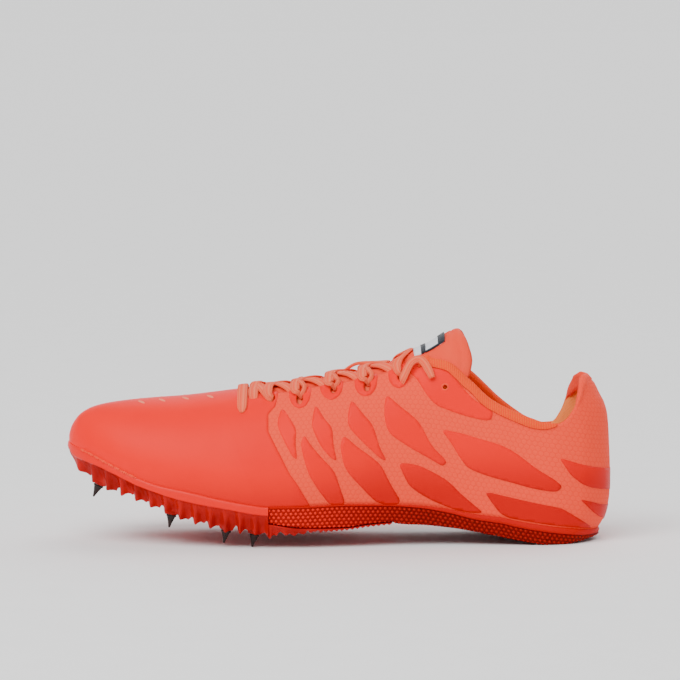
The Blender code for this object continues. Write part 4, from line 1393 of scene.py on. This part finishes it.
def plate_section(along, under):
    """Half sections and floor of the plate at one station: strip, fins or serrated tail, and lugs."""
    def top_of(place):
        return INSTEP_HEIGHT * foam_share(place) - GAP if under else feather(place) + HUG

    fade = ease((along - 0.004) / 0.03) * (1.0 - ease((along - 0.36) / 0.06))
    phase = (along - LUG_FIRST) / LUG_PITCH
    inner = -0.5 < phase < LUG_COUNT - 0.5
    wave = abs(math.cos(math.pi * phase))
    fin = wave ** 4 if inner else 0.0
    between = 0.5 * abs(math.sin(math.pi * phase)) ** 9 * (0.6 + 0.4 * math.sin(1.9 * math.floor(phase)))
    tip = max(wave ** 6, between) if inner else 0.0
    slant = 1.0 - 0.25 * math.sin(2 * math.pi * phase)
    slant *= 1.0 + 0.35 * math.sin(2.4 * math.floor(phase + 0.5))
    inset = 0.0008 * ease(along / 0.03) + 0.0036 * (1.0 - fin) * fade
    depth = LUG_DEPTH * 0.75 * (1.0 - tip) * fade * slant
    base = FLANGE - (MIDSOLE_LEAN if under else 0.0)
    run = along * LENGTH
    coarse = 0.0013 * zigzag(run, 0.0046) * (1.0 - ease((along - 0.44) / 0.04))
    fine = 0.0009 * zigzag(run, 0.0027) * ease((along - 0.42) / 0.03)
    serration = (coarse + fine) * ease((along - 0.372) / 0.01)
    bulge = 0.0 if under else 0.0003 + 0.0006 * ease(along / 0.05)

    def strip_of(place):
        thin = 0.0 if under else 0.30 * ease((place - 0.20) / 0.14)
        low = min(INSTEP_HEIGHT * strip_share(place), top_of(place) - 0.0005)
        low += (top_of(place) - low) * thin
        return min(max(low, INSTEP_HEIGHT * tip_share(place) + serration + 0.0003), top_of(place) - 0.0001)

    def tip_of(place):
        return min(INSTEP_HEIGHT * tip_share(place) + depth + serration, top_of(place) - 0.0002)

    half = {}
    for side in SIDES:
        here, way = edge_frame(along, side)
        row = []

        def put(outward, share, upper, lower):
            spot = here + way * outward
            place = spot.x / LENGTH + 0.5
            row.append(Vector((spot.x, spot.y, upper(place) + (lower(place) - upper(place)) * share)))

        put(base - 0.004, 0.0, top_of, strip_of)
        put(base - 0.0004, 0.0, top_of, strip_of)
        for share, swell in STRIP_STEPS:
            put(base + bulge * swell, share, top_of, strip_of)
        for share in TIP_STEPS:
            put(base + bulge * 0.15 - inset * math.sin(math.pi / 2 * share), share, strip_of, tip_of)
        half[side] = row
    floor = []
    for j in range(1, PLATE_COLUMNS):
        share = j / PLATE_COLUMNS
        spot = half["lateral"][-1].lerp(half["medial"][-1], share)
        ceiling = INSTEP_HEIGHT * tip_share(spot.x / LENGTH + 0.5) + LUG_DEPTH * fade
        level = ceiling + serration - LUG_DEPTH * fade * lug_peak(phase, share * LUG_COLUMNS)
        blend = min(min(share, 1.0 - share) * LUG_COLUMNS / 0.9, 1.0)
        floor.append(Vector((spot.x, spot.y, level * blend + spot.z * (1 - blend))))
    return half["lateral"] + floor + list(reversed(half["medial"]))


def build_plate():
    """Strip, lugs and tail in one loft, with a boss for each pin."""
    stations = [(PLATE_STEP * (k / 190) ** 1.25, False) for k in range(191)]
    stations += [(PLATE_STEP + (PLATE_END - PLATE_STEP) * k / 180, True) for k in range(181)]
    rings = [plate_section(along, under) for along, under in stations]
    points = all_of(rings)
    places = []
    for (along, under), ring in zip(stations, rings):
        for j in range(len(ring)):
            on_strip = min(j, len(ring) - 1 - j) < STRIP_ROWS and not under
            places.append((along * LENGTH, 0.0 if on_strip else 1.0))
    faces = tube_loft(rings)
    for spike in SPIKES:
        foot, down = spike_seat(spike)
        boss = pin_rings(foot, down, BOSS_PROFILE, BOSS_CORNERS)
        faces += grid_faces(len(boss), BOSS_CORNERS, len(points), closed=True)
        points += all_of(boss)
    places += [(0.0, 1.0)] * (len(points) - len(places))
    mesh = mesh_of("plate_shell", points, faces, places, outward=True)
    plate = make_object("plate_shell", mesh, PLATE_RED)
    mark_sharp(plate, 42.0)
    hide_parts("spike_plate")


def mark_sharp(thing, degrees):
    """Keep edges sharper than the given angle crisp."""
    work = bmesh.new()
    work.from_mesh(thing.data)
    for edge in work.edges:
        if len(edge.link_faces) == 2 and edge.calc_face_angle(0.0) > math.radians(degrees):
            edge.smooth = False
    work.to_mesh(thing.data)
    work.free()


def circle_points(middle, axis, radius, corners):
    side = axis.cross(Vector((0, 1, 0))).normalized()
    other = axis.cross(side).normalized()
    turns = [2 * math.pi * k / corners for k in range(corners)]
    return [middle + side * radius * math.cos(turn) + other * radius * math.sin(turn) for turn in turns]


def build_toe_grains():
    """Rough row of grains on the ledge of the plate beside the toe; their pale coral colour is a painted
    highlight.
    """
    work = bmesh.new()
    for side in SIDES:
        for k in range(30):
            here, way = edge_frame(0.030 + 0.100 * k / 29, side)
            spot = here + way * (0.0015 + 0.00015 * math.sin(k * 2.3))
            height = feather(spot.x / LENGTH + 0.5) + 0.0003
            bmesh.ops.create_icosphere(work, subdivisions=2, radius=0.00055 + 0.00014 * math.sin(k * 1.7),
                                       matrix=Matrix.Translation((spot.x, spot.y, height)))
    # The grains take the pale coral mesh finish as a painted highlight on them.
    grains = make_object("toe_grains", mesh_from(work, "toe_grains"), MESH)


# Spikes
def spike_seat(spike):
    """Middle of the boss face and the way the spike points; a spike without a height stands on the floor."""
    step = 0.01
    slope = (feather(spike.along + step) - feather(spike.along - step)) / (2 * step * LENGTH)
    down = Vector((slope, 0.0, -1.0)).normalized()
    if spike.height is None:
        height = -down.z * (SPIKE_LENGTH + GAP) + 0.0005 * math.hypot(down.x, down.y)
    else:
        height = INSTEP_HEIGHT * spike.height
    return Vector((LENGTH * (spike.along - 0.5), SIDES[spike.side] * BALL_WIDTH * spike.out, height)), down


# Distance along the spike and radius there
SPIKE_PROFILE = (
    (0.0000, 0.0001), (0.0000, 0.0025), (0.0003, 0.0026), (0.0008, 0.0026), (0.0010, 0.0024),
    (0.0011, 0.0021), (0.0016, 0.0020), (0.0035, 0.0013), (0.0055, 0.00072), (0.0066, 0.00046),
    (SPIKE_LENGTH, 0.0003), (SPIKE_LENGTH, 0.00001),
)


def pin_rings(foot, down, profile, corners):
    """Rings of a round pin or boss, from rows of distance along it and radius."""
    return [circle_points(foot + down * depth, down, radius, corners) for depth, radius in profile]


def build_spikes():
    for spike in SPIKES:
        foot, down = spike_seat(spike)
        foot = foot + down * GAP
        rings = pin_rings(foot, down, SPIKE_PROFILE, HOLE_CORNERS)
        pin = lofted(f"pin_{spike.side}_{spike.number}", rings, STEEL, mapped=False)
        mark_sharp(pin, 35.0)
        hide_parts(f"spike_{spike.side}_{spike.number}")


# Lace
Stop = namedtuple("Stop", "along out lift width")
TAPE_CORNERS = 14


def smooth_values(values, pieces):
    """Catmull-Rom curve through rows of numbers."""
    rows = [np.array(value, dtype=float) for value in values]
    padded = [rows[0] * 2 - rows[1]] + rows + [rows[-1] * 2 - rows[-2]]
    route = []
    for before, start, end, after in zip(padded, padded[1:], padded[2:], padded[3:]):
        for k in range(pieces):
            t = k / pieces
            route.append(0.5 * (start * 2 + (end - before) * t
                                + (before * 2 - start * 5 + end * 4 - after) * t ** 2
                                + (start * 3 - before - end * 3 + after) * t ** 3))
    return route + [rows[-1]]


def ribbon(name, stops, pieces=6):
    """Flat lace through stops given as place along, signed distance out, lift and width."""
    route = smooth_values(stops, pieces)
    middles = []
    normals = []
    for along, out, lift, _ in route:
        angle = angle_out(along, out)
        normals.append(last_normal(along, angle))
        middles.append(signed_point(along, angle) + normals[-1] * lift)
    rings = []
    places = []
    distance = 0.0
    previous = None
    turns = [2 * math.pi * j / TAPE_CORNERS for j in range(TAPE_CORNERS)]
    for k, (middle, normal) in enumerate(zip(middles, normals)):
        run = (middles[min(k + 1, len(middles) - 1)] - middles[max(k - 1, 0)]).normalized()
        across = run.cross(normal)
        if across.length < 0.2:
            across = run.cross(Vector((1, 0, 0)))
        across = across.normalized()
        if previous is not None and across.dot(previous) < 0:
            across = -across
        previous = across
        thick_way = across.cross(run).normalized()
        width = route[k][3]
        thick = LACE_THICK * min(1.6, math.sqrt(LACE_WIDTH / width))
        ring = []
        for turn in turns:
            flat = math.copysign(abs(math.cos(turn)) ** 0.55, math.cos(turn)) * width / 2
            high = math.copysign(abs(math.sin(turn)) ** 0.8, math.sin(turn)) * thick / 2
            ring.append(middle + across * flat + thick_way * high)
        rings.append(ring)
        if k:
            distance += (middle - middles[k - 1]).length
        places += [(distance, LACE_WIDTH * 0.5 * math.cos(turn)) for turn in turns]
    mesh = mesh_of(name, all_of(rings), tube_loft(rings), places, outward=True)
    return mesh, [tuple(middle) for middle in middles]


def crossing(start, end, sign, peak):
    """One strand: up out of a hole, over the ridge and under the far edge to the next hole."""
    edge = BALL_WIDTH * throat_share(start.along)
    far = BALL_WIDTH * throat_share(end.along)
    out = BALL_WIDTH * start.out
    back = BALL_WIDTH * end.out
    entry = out - (out - edge) * (0.0 if start == EYELETS[1] else 0.40)
    stops = (
        (0.02, entry - 0.0006, -0.0030, 0.0024), (0.00, entry - 0.0008, -0.0006, 0.0026),
        (-0.04, entry - 0.0010, 0.0014, 0.0032), (-0.10, entry * 0.7 + edge * 0.3, 0.0022, 0.0044),
        (-0.12, edge * 1.05, 0.0024, 0.0052), (-0.08, edge * 0.55, 0.0012 + peak * 0.6, LACE_WIDTH),
        (0.06, 0.0, peak, LACE_WIDTH), (0.30, -far * 0.40, 0.0011, LACE_WIDTH),
        (0.56, -far * 0.78, 0.0009, LACE_WIDTH), (0.72, -far * 0.98, -0.0002, LACE_WIDTH),
        (0.84, -(far + 0.0016), -0.0023, LACE_WIDTH), (0.94, -(far + back) * 0.5, -0.0029, 0.0040),
        (1.00, -(back - 0.0004), -0.0032, 0.0028),
    )
    gain = end.along - start.along
    return [Stop(start.along + gain * step, sign * place, lift, width) for step, place, lift, width in stops]


def second_leg(hole, sign):
    """Edge of the loop that turns back to the hole behind the broad strand."""
    edge = BALL_WIDTH * throat_share(hole.along)
    out = edge + (BALL_WIDTH * hole.out - edge) * 0.60
    stops = (
        (0.002, edge * 0.80, 0.0026, 0.0030), (0.007, edge * 1.02, 0.0024, 0.0028),
        (0.0095, edge * 0.7 + out * 0.3, 0.0018, 0.0024), (0.0085, edge * 0.35 + out * 0.65, 0.0012, 0.0022),
        (0.004, out - 0.0006, 0.0002, 0.0020), (0.001, out, -0.0020, 0.0020),
    )
    return [Stop(hole.along + step, sign * place, lift, width) for step, place, lift, width in stops]


# Hole that a crossing starts from, and the height of its lateral strand over the ridge
CROSSING_PEAKS = ((1, 0.0009), (2, 0.0012), (3, 0.0021), (4, 0.0019))
RAISED_STRAND = table(
    "along out lift width",
    (0.5040, 0.0060, 0.0006, 0.0044), (0.5130, 0.0050, 0.0012, 0.0040), (0.5230, 0.0040, 0.0024, 0.0034),
    (0.5330, 0.0030, 0.0032, 0.0032), (0.5450, 0.0020, 0.0031, 0.0034), (0.5580, 0.0010, 0.0025, 0.0038),
    (0.5710, 0.0000, 0.0017, 0.0042), (0.5830, -0.0020, 0.0009, 0.0046), (0.5900, -0.0040, 0.0002, 0.0046),
)


def front_bar():
    """Straight bar over the front of the throat, from hole to hole."""
    front = EYELETS[0]
    out = BALL_WIDTH * front.out
    half = [
        Stop(front.along + 0.0005, out, -0.0022, 0.0024), Stop(front.along, out + 0.0002, 0.0002, 0.0030),
        Stop(front.along, out * 0.93, 0.0013, 0.0050), Stop(front.along, out * 0.70, 0.0013, LACE_WIDTH),
        Stop(front.along, out * 0.35, 0.0016, LACE_WIDTH),
    ]
    return mirrored(half, Stop(front.along, 0.0, 0.0018, LACE_WIDTH))


def mirrored(half, middle):
    """Stops from the lateral side over the middle to the medial side."""
    return [stop._replace(out=-stop.out) for stop in half] + [middle] + list(reversed(half))


def first_loop(sign, peak):
    """Loop behind the bar, from the edge of the throat over the ridge to the second hole."""
    stops = (
        (0.3435, 0.0185, -0.0006, 0.0042), (0.3432, 0.0165, 0.0010, 0.0050),
        (0.3430, 0.0120, 0.0016, LACE_WIDTH), (0.3450, 0.0060, 0.0018, LACE_WIDTH),
        (0.3480, 0.0010, peak, LACE_WIDTH), (0.3520, -0.0050, 0.0018, LACE_WIDTH),
        (0.3575, -0.0095, 0.0017, LACE_WIDTH), (0.3655, -0.0155, 0.0016, LACE_WIDTH),
        (0.3725, -0.0198, 0.0012, 0.0048), (0.3750, -0.0208, 0.0003, 0.0036),
        (0.3760, -0.0208, -0.0022, 0.0028),
    )
    return [Stop(along, sign * out, lift, width) for along, out, lift, width in stops]


def top_strand():
    """Strand between the two top holes."""
    stops = (
        (0.001, 0.2400, -0.0028, 0.0024), (-0.001, 0.2380, -0.0004, 0.0028),
        (-0.004, 0.2260, 0.0014, 0.0040), (-0.005, 0.1950, 0.0020, 0.0052),
        (-0.001, 0.1550, 0.0018, LACE_WIDTH), (0.007, 0.1050, 0.0010, LACE_WIDTH),
        (0.014, 0.0500, 0.0005, 0.0050),
    )
    along = EYELETS[-1].along
    half = [Stop(along + step, BALL_WIDTH * out, lift, width) for step, out, lift, width in stops]
    return mirrored(half, Stop(along + 0.0175, 0.0, 0.0003, 0.0046))


def build_lace():
    """Lace of the throat: bar, first loops, crossings, second legs, top strand and raised strand."""
    strands = [front_bar(), first_loop(-1.0, 0.0026), first_loop(1.0, 0.0014)]
    for k, peak in CROSSING_PEAKS:
        for sign, rise in ((-1.0, peak), (1.0, peak - 0.0008)):
            strands.append(crossing(EYELETS[k], EYELETS[k + 1], sign, rise))
            if k > 1:
                strands.append(second_leg(EYELETS[k], sign))
    strands += [top_strand(), RAISED_STRAND]
    lace = join_all("lace_run", [ribbon("strand", stops)[0] for stops in strands], LACE)
    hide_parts("lace_crossings")


# Free end of the lace, close to the route of its solid; its start lies inside the hole
LACE_END_ROUTE = table(
    "along out rise",
    (0.6115, 0.268, -0.0078), (0.6135, 0.270, -0.0036), (0.6170, 0.268, -0.0006), (0.6235, 0.256, 0.0010),
    (0.6330, 0.235, 0.0018), (0.6415, 0.226, 0.0020), (0.6500, 0.228, 0.0018), (0.6580, 0.244, 0.0014),
    (0.6645, 0.265, 0.0008), (0.6710, 0.286, 0.0000),
)
LACE_END_LIFT = 0.0020
LACE_END_WIDTH = 0.0042


def build_lace_end():
    stops = []
    for k, stop in enumerate(LACE_END_ROUTE):
        width = LACE_END_WIDTH * (1.0 if 0 < k < len(LACE_END_ROUTE) - 1 else 0.8)
        stops.append(Stop(stop.along, -BALL_WIDTH * stop.out, LACE_END_LIFT + stop.rise, width))
    mesh, path = ribbon("lace_end_tape", stops, 5)
    end = make_object("lace_end_tape", mesh, LACE)
    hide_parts("lace_end")


# Stage
FLOOR_REACH = 300.0
FLOOR_RUN = ((-FLOOR_REACH, 0.0), (44.0, 0.0), (100.0, 56.0 * math.tan(math.radians(30.0))))
SKY_STRENGTH = 0.48
SUNS = (("sky_front", (-0.35, -0.80, 1.1), 50.0, 2.4), ("sky_back", (0.5, 1.0, 1.0), 60.0, 1.5))
PANEL_LAMPS = (("key", (-0.85, -1.0, 1.1), 0.7, 8.0), ("fill", (1.1, -1.2, 0.5), 1.2, 0.8))


def build_stage():
    """Pale floor that rises into a backdrop, a white sky and soft lamps."""
    floor_mesh = bpy.data.meshes.new("floor")
    corners = [(side * FLOOR_REACH, back, high) for back, high in FLOOR_RUN for side in (-1, 1)]
    faces = [(2 * k, 2 * k + 1, 2 * k + 3, 2 * k + 2) for k in range(len(FLOOR_RUN) - 1)]
    floor_mesh.from_pydata(corners, [], faces)
    floor = add_object("floor", floor_mesh)
    finish = new_finish("floor_pale", 0.9)
    grain = noise(finish, object_places(finish), 40.0)
    set_colour(finish, mix_colours(finish, grain, (246, 246, 246), (250, 250, 250)))
    floor_mesh.materials.append(finish)

    world = bpy.data.worlds.new("studio")
    bpy.context.scene.world = world
    world.use_nodes = True
    sky = world.node_tree.nodes["Background"]
    sky.inputs["Color"].default_value = (1.0, 1.0, 1.0, 1.0)
    sky.inputs["Strength"].default_value = SKY_STRENGTH
    for name, way, spread, power in SUNS:
        data = bpy.data.lights.new(name, "SUN")
        data.angle = math.radians(spread)
        aim_lamp(name, data, power, Vector(way), Vector((0, 0, 0)))
    for name, spot, size, power in PANEL_LAMPS:
        data = bpy.data.lights.new(name, "AREA")
        data.size = size
        aim_lamp(name, data, power, Vector(spot), Vector((0.0, 0.0, 0.04)))


def aim_lamp(name, data, power, spot, target):
    data.energy = power
    lamp = add_object(name, data)
    lamp.location = spot
    lamp.rotation_mode = "QUATERNION"
    lamp.rotation_quaternion = Vector((0, 0, -1)).rotation_difference(target - spot)


def build_camera():
    """Long lens that shows each pixel of the photograph at its scale in the plane of the shoe's middle."""
    data = bpy.data.cameras.new("camera")
    data.lens = 200.0
    data.sensor_width = 36.0
    data.clip_end = 500.0
    distance = FRAME_PIXELS * PIXEL * data.lens / data.sensor_width
    half = FRAME_PIXELS / 2
    target = Vector(((half - TOE_PIXEL) * PIXEL - LENGTH / 2, 0.0,
                     (FLOOR_PIXEL - half) * PIXEL / math.cos(CAMERA_TILT)))
    camera = add_object("camera", data)
    camera.location = target + Vector((0.0, -math.cos(CAMERA_TILT), math.sin(CAMERA_TILT))) * distance
    camera.rotation_euler = (math.pi / 2 - CAMERA_TILT, 0.0, 0.0)
    bpy.context.scene.camera = camera


def main():
    build_camera()
    build_lace_end()
    build_stage()
    tool = hole_tool()
    build_upper(tool)
    build_toe_film(tool)
    build_panels(tool)
    bpy.data.objects.remove(tool, do_unlink=True)
    build_vents()
    build_bindings()
    build_heel_wrap()
    build_hole_rings()
    build_heel_lining()
    build_tongue()
    build_label()
    build_insole()
    build_midsole()
    build_plate()
    build_toe_grains()
    build_spikes()
    build_lace()


main()
